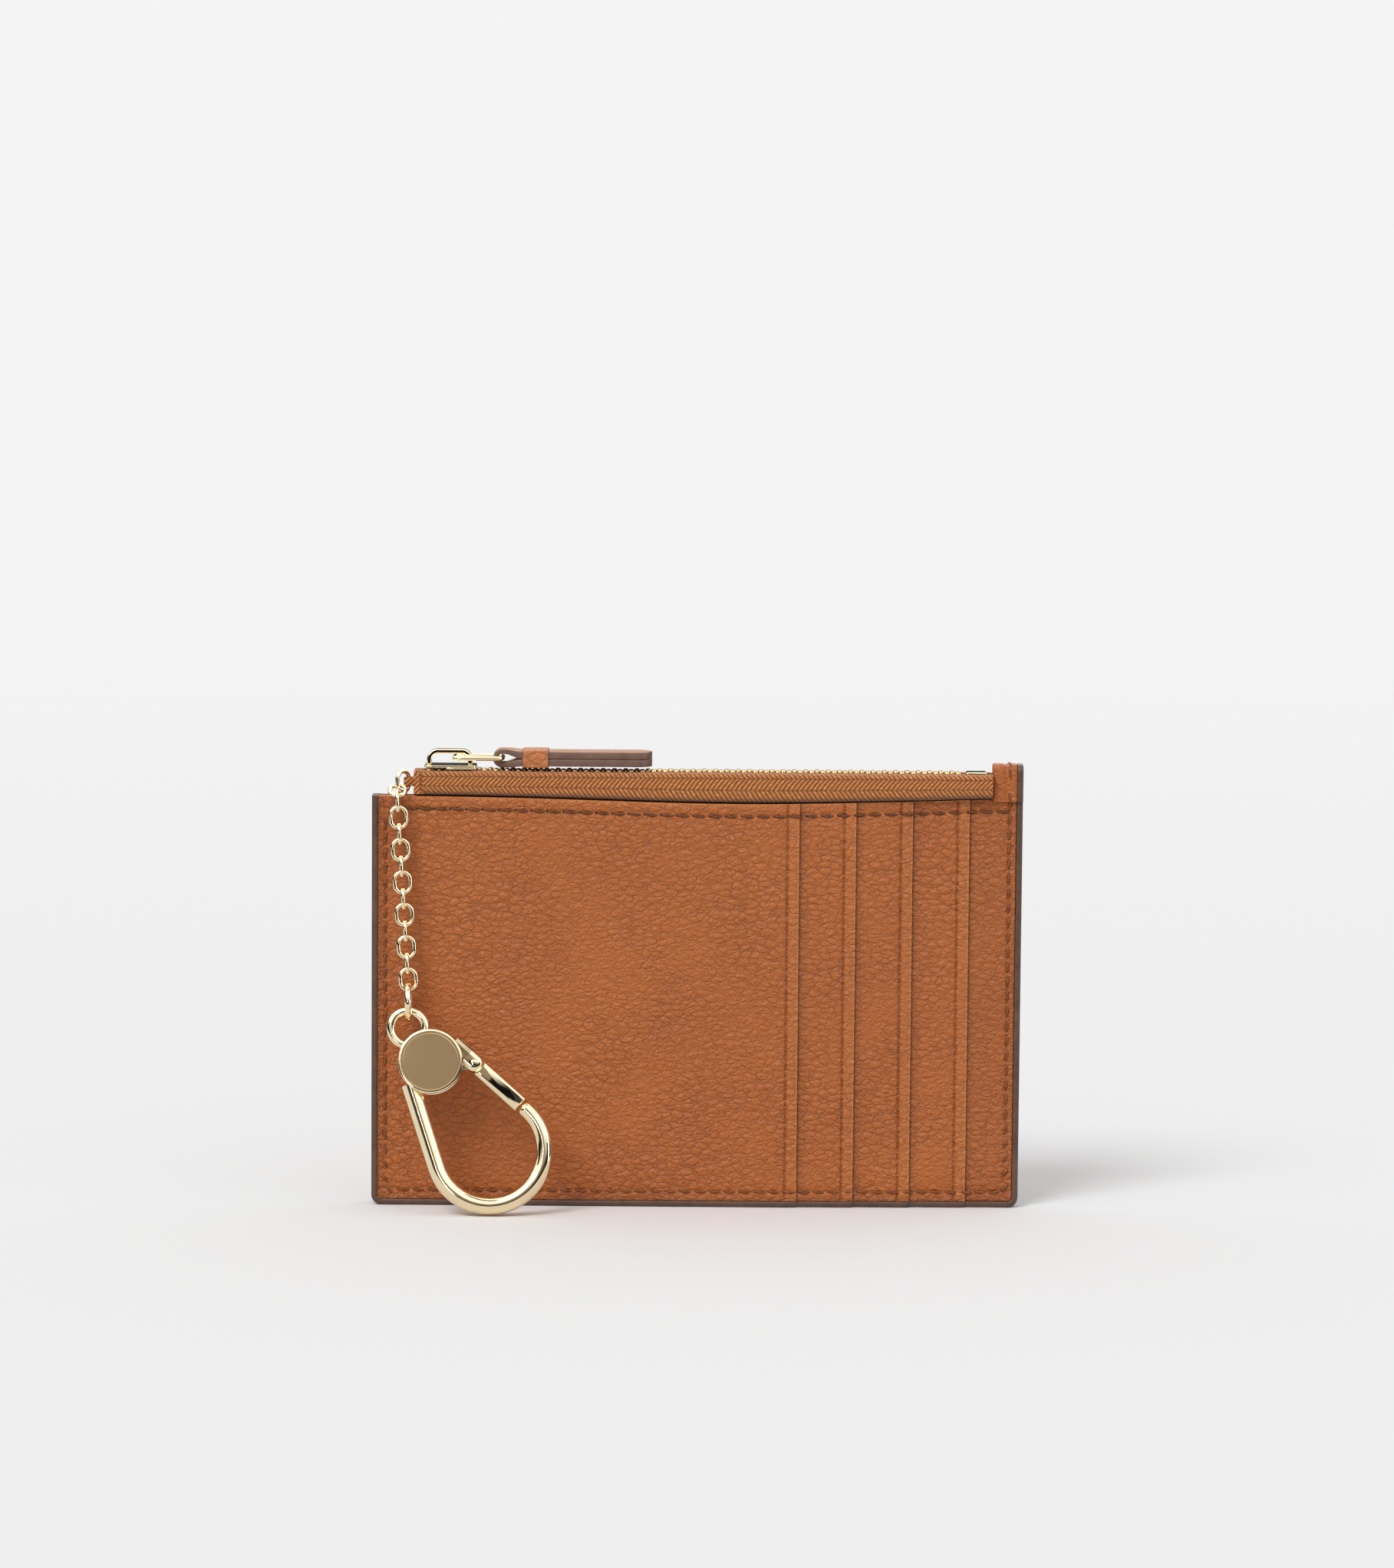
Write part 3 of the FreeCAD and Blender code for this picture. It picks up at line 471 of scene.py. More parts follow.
def sagAt(x):
    return case["sag"] * ridge(x, case["sagMiddle"], case["sagWidth"]) * (1 - smoothStep(case["sagEnd"], 58.0, x))


def frontAt(x):
    return case["fronts"][sum(x > edge for edge in case["slotEdges"])]


def panelWave(x, z, seed):
    slow = noise.noise(Vector((x * 0.035, z * 0.05, seed)))
    return case["wave"] * slow + case["ripple"] * noise.noise(Vector((x * 0.2, z * 0.2, seed)))


def leatherSheet(name, x, front, back, materials, relief, wearAndHighlight=None, marksX=(), marksZ=(), seed=1.0, dim=0.0, lips=()):
    # a slab with rounded edges; relief gives how far the front is pressed in at a place. The shade attribute holds
    # painted shadow beside the slot lips and in the crease lines, a painted shade over the whole sheet by dim, and
    # darkening towards the left and bottom edges
    low, high = case["bottom"], case["top"]
    half = (back - front) / 2
    columns = spaced(x[0], x[1], 1.3, marksX)
    rows = spaced(low, high, 1.3, marksZ)
    points, values, shades = [], [], []
    for side in (-1, 1):
        for u in columns:
            for v in rows:
                near = min(u - x[0], x[1] - u, v - low, high - v, half)
                inset = half - math.sqrt(max(half * half - (half - near) ** 2, 0))
                z = v - sagAt(u) * smoothStep(low + 30, high, v)
                press = panelWave(u, v, seed) * min(1, near / half)
                if side < 0:
                    y = front + inset + max(press, 0.0) + relief(u, v) * min(1, near / half)
                else:
                    y = back - inset
                points.append((u, y, z))
                values.append(wearAndHighlight(u, v) if wearAndHighlight else 0.0)
                # painted shadow to the right of each slot lip, and painted shade in the pressed crease line
                paintedLipShadow = max([0.95 * math.exp(-(u - e) / 0.5) for e in lips if e < u] + [0.0]) if side < 0 else 0.0
                paintedLipShadow = max(paintedLipShadow, 0.4 * ridge(u, x[1] - case["creaseIn"], 0.22) if side < 0 and x[1] in lips else 0.0)
                shades.append(max(0.5 * ridge(min(u - x[0], v - low), 0, 0.9), paintedLipShadow, dim))
    tall, wide = len(rows), len(columns)
    faces = []
    for side in range(2):
        for i in range(wide - 1):
            for j in range(tall - 1):
                a = side * wide * tall + i * tall + j
                faces.append((a, a + 1, a + tall + 1, a + tall))
    return makePiece(name, points, faces, materials, values={"wearAndHighlight": values, "shade": shades}, sharp=80)


def panelRelief(edge):
    # pressed lines by the slot edge, and the furrows that the stitches lie in
    def relief(x, z):
        deep = 0.0
        if edge is not None:
            deep = case["creaseDeep"] * ridge(x, edge - case["creaseIn"], 0.24)
            deep += case["lipDeep"] * smoothStep(edge - case["lipRound"], edge, x)
        deep += case["seamDeep"] * ridge(z, case["top"] - case["seamTop"], 0.5)
        deep += case["lipDeep"] * smoothStep(case["top"] - case["lipRound"], case["top"], z)
        deep += case["seamDeep"] * ridge(z, case["seamBottom"], 0.4)
        deep += case["seamDeep"] * ridge(x, case["seamLeft"], 0.4)
        deep += case["seamDeep"] * ridge(x, case["seamRight"], 0.4)
        return deep
    return relief


# paler along the top edge, at each slot edge and over the band between crease and slot edge: rubbed wear, and painted
# highlight on the rolled lips
def panelWearAndHighlight(edge):
    def wearAndHighlight(x, z):
        lip = 0.75 * ridge(z, case["top"], 0.35)
        if edge is not None:
            crease = edge - case["creaseIn"]
            lip = max(lip, 0.7 * ridge(x, edge, 0.3), 0.2 * smoothStep(crease, crease + 0.5, x))
        return lip
    return wearAndHighlight


seamRows = (case["top"] - case["seamTop"], case["seamBottom"])
edges = case["slotEdges"]
for i, number in enumerate((4, 3, 2, 1)):
    front, marks = case["fronts"][i], (case["seamLeft"], edges[i] - case["creaseIn"], *edges[:i])
    sheet = leatherSheet(
        f"cardPanel{number}", (case["left"], edges[i]), front, front + case["panelThick"], leather,
        panelRelief(edges[i]), panelWearAndHighlight(edges[i]), marks, seamRows, number * 3.7, 0.0, edges,
    )
    settle(sheet, "case", "leather", f"card_panel_{number}")
seamSides = (case["seamLeft"], case["seamRight"])
# the base panel's 0.12 is dim: a painted shade over its whole face
sheet = leatherSheet(
    "frontBasePanel", (case["left"], case["right"]), case["fronts"][4], case["baseBack"], leather,
    panelRelief(None), panelWearAndHighlight(None), (*seamSides, *edges), seamRows, 1.3, 0.12, edges,
)
settle(sheet, "case", "leather", "front_base_panel")
sheet = leatherSheet(
    "backPanel", (case["left"], case["right"]), -case["backBack"], -case["backFront"], leather,
    panelRelief(None), panelWearAndHighlight(None), seamSides, seamRows, 8.1,
)
sheet.data.transform(Matrix.Diagonal((1, -1, 1, 1)))
sheet.data.flip_normals()
settle(sheet, "case", "leather", "back_panel")
for side, node in ((-1, "lining_front"), (1, "lining_back")):
    face = sorted((side * 0.6, side * 0.8))
    sheet = leatherSheet(
        "liningFront" if side < 0 else "liningBack", (case["left"], case["right"]), face[0], face[1],
        liningCloth, lambda x, z: 0.0,
    )
    settle(sheet, "case", "lining", node)
for number in range(1, 5):
    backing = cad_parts[f"pocket_backing_{number}"].data.materials
    backing.clear()
    backing.append(liningCloth)
print("leather panels and linings ready")

# painted edge: a bead round three sides whose depth steps where each card panel ends

bead = {"width": 1.2, "corner": 2.0, "round": 0.5, "step": 0.25, "proud": 0.03, "back": 1.8, "halfWidth": 63.5}


def beadPath():
    out, corner = bead["halfWidth"], bead["corner"]
    path = [(Vector((-out, 0, z)), Vector((-1, 0, 0))) for z in spaced(corner, case["top"], 2.0)[::-1]]
    for i in range(1, 12):
        turn = math.radians(180 + 90 * i / 12)
        normal = Vector((math.cos(turn), 0, math.sin(turn)))
        path.append((Vector((-out + corner, 0, corner)) + normal * corner, normal))
    marks = [e + s for e in case["slotEdges"] for s in (-bead["step"] / 2, bead["step"] / 2)]
    path += [(Vector((x, 0, 0)), Vector((0, 0, -1))) for x in spaced(-out + corner, out - corner, 2.0, marks, (0.1,))]
    for i in range(1, 12):
        turn = math.radians(270 + 90 * i / 12)
        normal = Vector((math.cos(turn), 0, math.sin(turn)))
        path.append((Vector((out - corner, 0, corner)) + normal * corner, normal))
    path += [(Vector((out, 0, z)), Vector((1, 0, 0))) for z in spaced(corner, case["top"], 2.0)]
    return path


def stepAt(x):
    fronts = case["fronts"]
    return fronts[0] + sum(
        (fronts[i + 1] - fronts[i]) * smoothStep(edge - bead["step"], edge + bead["step"], x)
        for i, edge in enumerate(case["slotEdges"])
    )


rings = []
for spot, normal in beadPath():
    front, back, r, w = stepAt(spot.x), bead["back"], bead["round"], bead["width"]
    uneven = 0.05 * noise.noise(spot * 0.35) + 0.03 * noise.noise(spot * 1.1)
    section = [(w, front + 0.08), (w - 0.12, front - bead["proud"]), (r + 0.15, front - bead["proud"] + uneven * 0.5)]
    for i in range(5):
        turn = math.radians(90 * i / 4)
        section.append((r - r * math.sin(turn), front + r - r * math.cos(turn)))
    section += [(0.04 + uneven, front + (back - front) * t) for t in (0.35, 0.65)]
    for i in range(5):
        turn = math.radians(90 * i / 4)
        section.append((r - r * math.cos(turn), back - r + r * math.sin(turn)))
    section += [(w, back)]
    rings.append([spot - normal * d + Vector((0, y, 0)) for d, y in section])
settle(makePiece("paintedEdge", *loft(rings), edgePaint, sharp=60), "case", "painted_edge", "painted_edge")


# right end: leather folded over the zip's end, with a painted strip on its outer side

crown = {
    "half": 2.3, "round": 1.4, "top": 87.5, "foot": 80.2, "left": 57.55, "seam": 62.3, "right": 63.5, "fold": 59.9,
}


def crownRing(x, grow):
    half, top, r = crown["half"] - grow, crown["top"] - grow, crown["round"]
    ring = [Vector((x, -half, crown["foot"])), Vector((x, -half, 82.5)), Vector((x, -half, 84.5))]
    turns = [math.pi / 2 * i / 6 for i in range(7)]
    ring += [Vector((x, -half + r - r * math.cos(t), top - r + r * math.sin(t))) for t in turns]
    ring += [Vector((x, half - r + r * math.sin(t), top - r + r * math.cos(t))) for t in turns]
    return ring + [Vector((x, half, 84.5)), Vector((x, half, 82.5)), Vector((x, half, crown["foot"]))]


def crownPiece(name, low, high, soft, material):
    inset = [(low, soft), (low + soft * 0.3, soft * 0.3), (low + soft, 0)]
    between = spaced(low + soft, high - soft, 0.6, [crown["fold"]], ends=())[1:-1]
    middle = [(x, 0.22 * ridge(x, crown["fold"], 0.22)) for x in between]
    inset += middle + [(high - soft, 0), (high - soft * 0.3, soft * 0.3), (high, soft)]
    return makePiece(name, *loft([crownRing(x, g) for x, g in inset]), material, sharp=60)


settle(crownPiece("endTab", crown["left"], crown["seam"], 0.25, leather), "case", "leather", "zip_end_tab")
settle(crownPiece("endTabEdge", crown["seam"] - 0.05, crown["right"], 0.35, edgePaint), "case", "painted_edge")
print("painted edges and end tab ready")


# zip: cloth tapes, interlocked teeth and stops

zipRow = {
    "height": 85.3, "left": -53.6, "right": 57.5, "tapeThick": 0.35, "pitch": 2.2, "toothWide": 0.95, "toothHigh": 1.2,
    "first": -50.9, "front": 47, "back": 46, "stopLeft": 52.4, "stopWide": 3.9, "puff": 0.1,
    "tape": (
        (1.0, 85.3), (2.3, 85.3), (3.4, 85.34), (3.98, 85.1), (4.0, 84.3), (3.98, 82.9), (3.85, 81.7), (3.0, 81.0),
        (1.2, 80.95), (0.43, 80.6), (0.43, 79.6), (0.43, 77.0), (0.43, 73.8),
    ),
}


def rounded(path):
    # corners cut twice make a soft bend
    for _ in range(2):
        made = [path[0]]
        for a, b in zip(path, path[1:]):
            a, b = Vector(a), Vector(b)
            made += [a.lerp(b, 0.25), a.lerp(b, 0.75)]
        path = made + [Vector(path[-1])]
    return path


def tapePiece(name, side, node):
    # from the teeth out and down over the front leather, then in between the panels
    line = rounded([Vector((0, a, b)) for a, b in zipRow["tape"]])
    half = zipRow["tapeThick"] / 2
    lengths = [0.0]
    for a, b in zip(line, line[1:]):
        lengths.append(lengths[-1] + (b - a).length)
    points, uv, shades, faces = [], [], [], []
    stations = spaced(zipRow["left"], zipRow["right"], 1.1)
    count = len(line)
    for x in stations:
        ring = []
        for face in (1, -1):
            order = range(count) if face > 0 else range(count - 1, -1, -1)
            for k in order:
                ahead = (line[min(k + 1, count - 1)] - line[max(k - 1, 0)]).normalized()
                out = Vector((0, -ahead.z, ahead.y))
                loose = smoothStep(2.5, 3.8, line[k].y) * zipRow["puff"]
                shift = loose * (noise.noise(Vector((x * 0.16, line[k].z * 0.3, side * 5.0))) - 0.4)
                spot = line[k] + out * (half * face * -1) + Vector((0, shift, 0))
                drop = sagAt(x) * smoothStep(84.0, 81.0, spot.z)
                ring.append((x, side * spot.y, spot.z - drop))
                uv.append((x, lengths[k]))
                # painted shade, darker towards the bottom where the tape turns in below the panel tops
                shades.append(0.7 * smoothStep(81.9, 80.9, spot.z))
        points += ring
    size = 2 * count
    for i in range(len(stations) - 1):
        for j in range(size):
            faces.append((i * size + j, i * size + (j + 1) % size, (i + 1) * size + (j + 1) % size, (i + 1) * size + j))
    last = (len(stations) - 1) * size
    for j in range(count - 1):
        faces.append((j, j + 1, size - 2 - j, size - 1 - j))
        faces.append((last + j, last + j + 1, last + size - 2 - j, last + size - 1 - j))
    made = makePiece(name, points, faces, tapeCloth, uv=uv, values={"shade": shades}, sharp=60)
    settle(made, "case", "zip_tape", node)


tapePiece("zipTapeFront", -1, "zip_tape_front")
tapePiece("zipTapeBack", 1, "zip_tape_back")


# geometry trees, with their sizes as named inputs

def startTree(name, inputs):
    tree = bpy.data.node_groups.new(name, "GeometryNodeTree")
    for label, kind in inputs.items():
        tree.interface.new_socket(label, in_out="INPUT", socket_type="NodeSocket" + kind)
    tree.interface.new_socket("Geometry", in_out="OUTPUT", socket_type="NodeSocketGeometry")
    return tree, tree.nodes.new("NodeGroupInput").outputs


def endTree(tree, made, given):
    whole = put(tree, "GeometryNodeRealizeInstances", {0: made}).outputs[0]
    smooth = put(tree, "GeometryNodeSetShadeSmooth", {0: whole}).outputs[0]
    done = put(tree, "GeometryNodeSetMaterial", {0: smooth, "Material": given["Material"]}).outputs[0]
    tree.links.new(done, tree.nodes.new("NodeGroupOutput").inputs[0])
    return tree


def grow(name, tree, inputs, points=(), strands=(), move=None, sharp=40):
    # runs a tree on a helper and keeps the result as a plain mesh
    helper = bpy.data.meshes.new(name + "Path")
    helper.from_pydata([Vector(p) * mm for p in points], strands, [])
    made = added(name + "Path", helper)
    modifier = made.modifiers.new("grow", "NODES")
    modifier.node_group = tree
    sockets = {s.name: s.identifier for s in tree.interface.items_tree if s.in_out == "INPUT"}
    for label, given in inputs.items():
        modifier[sockets[label]] = given
    bpy.context.view_layer.update()
    mesh = bpy.data.meshes.new_from_object(made.evaluated_get(bpy.context.evaluated_depsgraph_get()))
    made.modifiers.clear()
    bpy.data.objects.remove(made)
    if move is not None:
        mesh.transform(move)
    mesh.name = name
    return finishMesh(name, mesh, sharp)


def buildRow():
    # copies of one shape set at even steps along X
    tree, given = startTree("evenRow", {
        "Geometry": "Geometry", "Shape": "Object", "Count": "Int", "First": "Vector", "Step": "Vector",
        "Material": "Material",
    })
    inputs = {"Count": given["Count"], "Start Location": given["First"], "Offset": given["Step"]}
    line = put(tree, "GeometryNodeMeshLine", inputs)
    shape = put(tree, "GeometryNodeObjectInfo", {"Object": given["Shape"]}).outputs["Geometry"]
    placedShapes = put(tree, "GeometryNodeInstanceOnPoints", {"Points": line.outputs[0], "Instance": shape})
    return endTree(tree, placedShapes.outputs[0], given)


def buildSeam():
    # copies of one shape spaced along strands, laid along them and facing a given way
    tree, given = startTree("seamAlongPath", {
        "Geometry": "Geometry", "Shape": "Object", "Pitch": "Float", "Facing": "Vector", "Slant": "Float",
        "Material": "Material",
    })
    curve = put(tree, "GeometryNodeMeshToCurve", {0: given["Geometry"]}).outputs[0]
    spots = put(tree, "GeometryNodeCurveToPoints", {0: curve, "Length": given["Pitch"]}, mode="LENGTH").outputs
    turn = put(tree, "FunctionNodeAlignRotationToVector", {"Vector": given["Facing"]}, axis="Z").outputs[0]
    inputs = {"Rotation": turn, "Vector": spots["Tangent"]}
    turn = put(tree, "FunctionNodeAlignRotationToVector", inputs, axis="X", pivot_axis="Z").outputs[0]
    slant = put(tree, "FunctionNodeAxisAngleToRotation", {"Axis": (0, 0, 1), "Angle": given["Slant"]}).outputs[0]
    inputs = {"Rotation": turn, "Rotate By": slant}
    turn = put(tree, "FunctionNodeRotateRotation", inputs, rotation_space="LOCAL").outputs[0]
    shape = put(tree, "GeometryNodeObjectInfo", {"Object": given["Shape"]}).outputs["Geometry"]
    laid = put(tree, "GeometryNodeInstanceOnPoints", {"Points": spots["Points"], "Instance": shape, "Rotation": turn})
    return endTree(tree, laid.outputs[0], given)


def buildWireLoop():
    # a loop of round wire in its own XY plane, long along Y
    tree, given = startTree("wireLoop", {
        "Geometry": "Geometry", "Wide": "Float", "Long": "Float", "Bend": "Float", "Wire": "Float",
        "Material": "Material",
    })
    inputs = {"Width": given["Wide"], "Height": given["Long"]}
    frameLine = put(tree, "GeometryNodeCurvePrimitiveQuadrilateral", inputs).outputs[0]
    bent = filleted(tree, frameLine, given["Bend"])
    section = put(tree, "GeometryNodeCurvePrimitiveCircle", {"Resolution": 18, "Radius": given["Wire"]}).outputs[0]
    bar = put(tree, "GeometryNodeCurveToMesh", {"Curve": bent, "Profile Curve": section}).outputs[0]
    return endTree(tree, bar, given)


def filleted(tree, curve, bend):
    node = tree.nodes.new("GeometryNodeFilletCurve")
    if hasattr(node, "mode"):
        node.mode = "POLY"
    tree.links.new(curve, node.inputs["Curve"])
    tree.links.new(bend, node.inputs["Radius"])
    node.inputs["Count"].default_value = 14
    return node.outputs[0]


rowTree, seamTree, wireTree = buildRow(), buildSeam(), buildWireLoop()


def toothShape(name, side):
    # jaw over the tape, a waist, and a rounded head that locks between the next teeth
    w, low, high = zipRow["toothWide"] / 2, -zipRow["toothHigh"] / 2, zipRow["toothHigh"] / 2
    outline = [(w * 0.7, 2.12), (w, 1.9), (w, 1.05), (w * 0.72, 0.75), (w * 0.72, 0.45), (w, 0.15)]
    outline += [(w * 0.95, -0.25), (w * 0.4, -0.52)]
    outline += [(-x, y) for x, y in outline[::-1]]
    rings = []
    for z, grow in ((low, 0.12), (low + 0.12, 0.0), (high - 0.22, 0.0), (high - 0.06, 0.08), (high, 0.24)):
        rings.append([
            (x - math.copysign(grow * 0.8, x), side * (y + (grow if y < 0.7 else -grow)), z) for x, y in outline
        ])
    return makePiece(name, *loft(rings), teethGold, sharp=50)


for side, name, node, first, count in (
    (-1, "zipTeethFront", "zip_teeth_front", zipRow["first"], zipRow["front"]),
    (1, "zipTeethBack", "zip_teeth_back", zipRow["first"] + zipRow["pitch"] / 2, zipRow["back"]),
):
    shape = toothShape(name + "Shape", side)
    inputs = {
        "Shape": shape, "Count": count, "First": Vector((first + zipRow["toothWide"] / 2, 0, zipRow["height"])) * mm,
        "Step": Vector((zipRow["pitch"], 0, 0)) * mm, "Material": teethGold,
    }
    settle(grow(name, rowTree, inputs, [(0, 0, 0)], sharp=50), "case", "gold_metal", node)
    bpy.data.objects.remove(shape)


def slab(name, outline, low, high, material, axis="Z"):
    # an outline in XY raised along Z, or in XZ raised along Y
    def spot(x, y, z):
        return (x, y, z) if axis == "Z" else (x, z, y)
    rings = [[spot(x, y, z) for x, y in outline] for z in (low, high)]
    return makePiece(name, *loft(rings), material)


def brick(x, y):
    return [(x[0], y[0]), (x[1], y[0]), (x[1], y[1]), (x[0], y[1])]


def together(name, pieces):
    shape = bmesh.new()
    for piece in pieces:
        shape.from_mesh(piece.data)
    mesh = bpy.data.meshes.new(name)
    shape.to_mesh(mesh)
    shape.free()
    mesh.materials.append(pieces[0].data.materials[0])
    for piece in pieces:
        bpy.data.objects.remove(piece)
    return added(name, mesh)


stopHalf = zipRow["toothHigh"] / 2
stopX = (zipRow["stopLeft"], zipRow["stopLeft"] + zipRow["stopWide"])
stopZ = (zipRow["height"] - stopHalf, zipRow["height"] + stopHalf)
stop = slab("zipBottomStop", brick(stopX, (-2.1, 2.1)), *stopZ, gold)
settle(softened(stop, 0.25, 4), "case", "gold_metal", "zip_bottom_stop")
topX = (zipRow["first"] - 2.0, zipRow["first"] - 0.8)
pair = [slab(f"topStop{i}", brick(topX, y), *stopZ, teethGold) for i, y in enumerate(((-2.1, -0.9), (0.9, 2.1)))]
settle(softened(together("zipTopStops", pair), 0.2), "case", "gold_metal", "zip_top_stops")
print("zip ready")


# slider: two plates, flanges round the teeth, a wedge and an arched bridge

slider = {
    "left": -53.4, "long": 10.2, "half": 3.5, "plate": 0.45, "channel": 0.8, "flangeLeft": -49.0, "flangeIn": 2.35,
    "slot": 0.4, "bridgeHalf": 1.1, "bridgeThick": 0.9, "bridgeTop": 89.6, "bend": 2.1,
    "wedge": ((-53.0, -0.15), (-52.2, -0.6), (-51.4, -0.6), (-51.3, 0), (-51.4, 0.6), (-52.2, 0.6), (-53.0, 0.15)),
}


def plateOutline(grow=0.0):
    left, right, half = slider["left"] - grow, slider["left"] + slider["long"] + grow, slider["half"] + grow
    corner = [(left + 1.3, -half), (right - 0.9, -half), (right - 0.25, -half + 0.25), (right, -half + 0.9)]
    corner += [(right, half - 0.9), (right - 0.25, half - 0.25), (right - 0.9, half), (left + 1.3, half)]
    nose = [(left + 0.3, half - 0.6), (left, half - 1.5), (left + 0.5, 0.9), (left + 0.62, 0)]
    return corner + nose + [(x, -y) for x, y in nose[-2::-1]]


middle, channel, plate = zipRow["height"], slider["channel"], slider["plate"]
flangeX = (slider["flangeLeft"], slider["left"] + slider["long"])
parts = []
for level, low in ((-1, middle - channel - plate), (1, middle + channel)):
    parts.append(slab("plate", plateOutline(), low, low + plate, gold))
    for side in (-1, 1):
        y = sorted((side * slider["flangeIn"], side * slider["half"]))
        z = sorted((middle + level * slider["slot"], middle + level * (channel + 0.05)))
        parts.append(slab("flange", brick(flangeX, y), *z, gold))
parts.append(slab("wedge", list(slider["wedge"]), middle - channel, middle + channel, gold))
settle(softened(together("sliderBody", parts), 0.16, 3), "slider", "gold_metal", "slider_body")


def bridgeOutline():
    left, right, top = slider["left"] + 0.5, slider["left"] + slider["long"] - 0.8, slider["bridgeTop"]
    foot, thick, bend = middle + channel + plate - 0.02, slider["bridgeThick"], slider["bend"]
    turnLeft, turnRight = (left + bend, top - bend), (right - bend, top - bend)
    outer = [(left, foot)] + flatArc(turnLeft, bend, 180, 90, 10) + flatArc(turnRight, bend, 90, 0, 10)
    inner = flatArc(turnRight, bend - thick, 0, 90, 10) + flatArc(turnLeft, bend - thick, 90, 180, 10)
    return outer + [(right, foot), (right - thick, foot)] + inner + [(left + thick, foot)]


bridge = slab("sliderBridge", bridgeOutline(), -slider["bridgeHalf"], slider["bridgeHalf"], gold, "Y")
settle(softened(bridge, 0.26, 4, 50), "slider", "gold_metal", "slider_bridge")


def wireLoop(name, wide, long, bend, wire, placing, material):
    inputs = {"Wide": wide * mm, "Long": long * mm, "Bend": bend * mm, "Wire": wire / 2 * mm, "Material": material}
    return grow(name, wireTree, inputs, [(0, 0, 0)], move=placing, sharp=80)


def framed(centre, across, along):
    x, y = Vector(across).normalized(), Vector(along).normalized()
    turn = Matrix((x, y, x.cross(y))).transposed().to_4x4()
    return Matrix.Translation(Vector(centre) * mm) @ turn


# pull: ring, folded leather strap and keeper band

pull = {
    "ringLeft": -47.9, "ringWire": 0.9, "ringBend": 1.2, "ringLong": 6.9, "ringWide": 3.7, "height": 87.95,
    "thick": 2.9, "half": 3.4, "neckHalf": 2.05, "neckEnd": -37.6, "shoulder": -35.6, "end": -8.95, "tip": 3.2,
    "loopOuter": 1.85, "loopInner": 0.85, "keeperLeft": -34.2, "keeperWide": 5.1, "keeperThick": 0.3,
}
ringMiddle = pull["ringLeft"] + pull["ringWire"] / 2 + pull["ringBend"] + pull["ringLong"] / 2
settle(
    wireLoop(
        "pullRing", pull["ringWide"] + 2 * pull["ringBend"], pull["ringLong"] + 2 * pull["ringBend"], pull["ringBend"],
        pull["ringWire"], framed((ringMiddle, 0, pull["height"]), (0, -1, 0), (1, 0, 0)), gold,
    ),
    "ring", "gold_metal", "pull_ring",
)


def pullPiece():
    # one strap folded round the ring, so its two layers meet in a fine line along the painted sides
    loopX = pull["ringLeft"] + pull["ringWire"] / 2 + 2 * pull["ringBend"] + pull["ringLong"]
    middle, top = pull["height"], pull["thick"] / 2
    bendMid, bendThick = (pull["loopOuter"] + pull["loopInner"]) / 2, pull["loopOuter"] - pull["loopInner"]
    stations = []
    for x in spaced(loopX + 4.0, pull["end"], 0.9, (), ends=(0.08, 0.25, 0.5, 0.8, 1.2, 1.7, 2.3, 3.0))[::-1]:
        stations.append((x, middle + top / 2 + 0.01, Vector((0, 0, 1)), top - 0.02))
    for x in (loopX + 3.0, loopX + 2.0, loopX + 1.0):
        share = smoothStep(loopX + 4.0, loopX + 0.4, x)
        z, thick = middle + top / 2 + (bendMid - top / 2) * share, top + (bendThick - top) * share
        stations.append((x, z, Vector((0, 0, 1)), thick))
    for p in arc((loopX, 0, middle), bendMid, 90, 180, 9):
        stations.append((p.x, p.z, (p - Vector((loopX, 0, middle))).normalized(), bendThick))
    mirrored = [(x, 2 * middle - z, Vector((n.x, 0, -n.z)), t) for x, z, n, t in stations[-2::-1]]
    rings, sides = [], 0
    for x, z, normal, thick in stations + mirrored:
        half = pull["neckHalf"] + (pull["half"] - pull["neckHalf"]) * smoothStep(pull["neckEnd"], pull["shoulder"], x)
        back = pull["end"] - x
        if back < pull["tip"]:
            half -= pull["tip"] - math.sqrt(max(pull["tip"] ** 2 - (pull["tip"] - back) ** 2, 0))
        half = max(half, 0.25)
        r = min(0.26, thick * 0.3)
        section = []
        for side, level, c, s in cornerTurns():
            section.append((side * (half - r) + r * c, level * (thick / 2 - r) + r * s))
        rings.append([Vector((x, a, z)) + normal * h for a, h in section])
        sides = len(section)
    points, faces = loft(rings)
    painted = []
    for i in range(len(rings) - 1):
        for j in range(sides):
            painted.append(1 if j in (17, 18, 19, 0, 1, 2, 7, 8, 9, 10, 11, 12) else 0)
    painted += [1, 1]
    return makePiece("leatherPull", points, faces, [pullLeather, taupePaint], faceMaterials=painted, sharp=70)


settle(pullPiece(), "pull", "leather", "leather_pull")


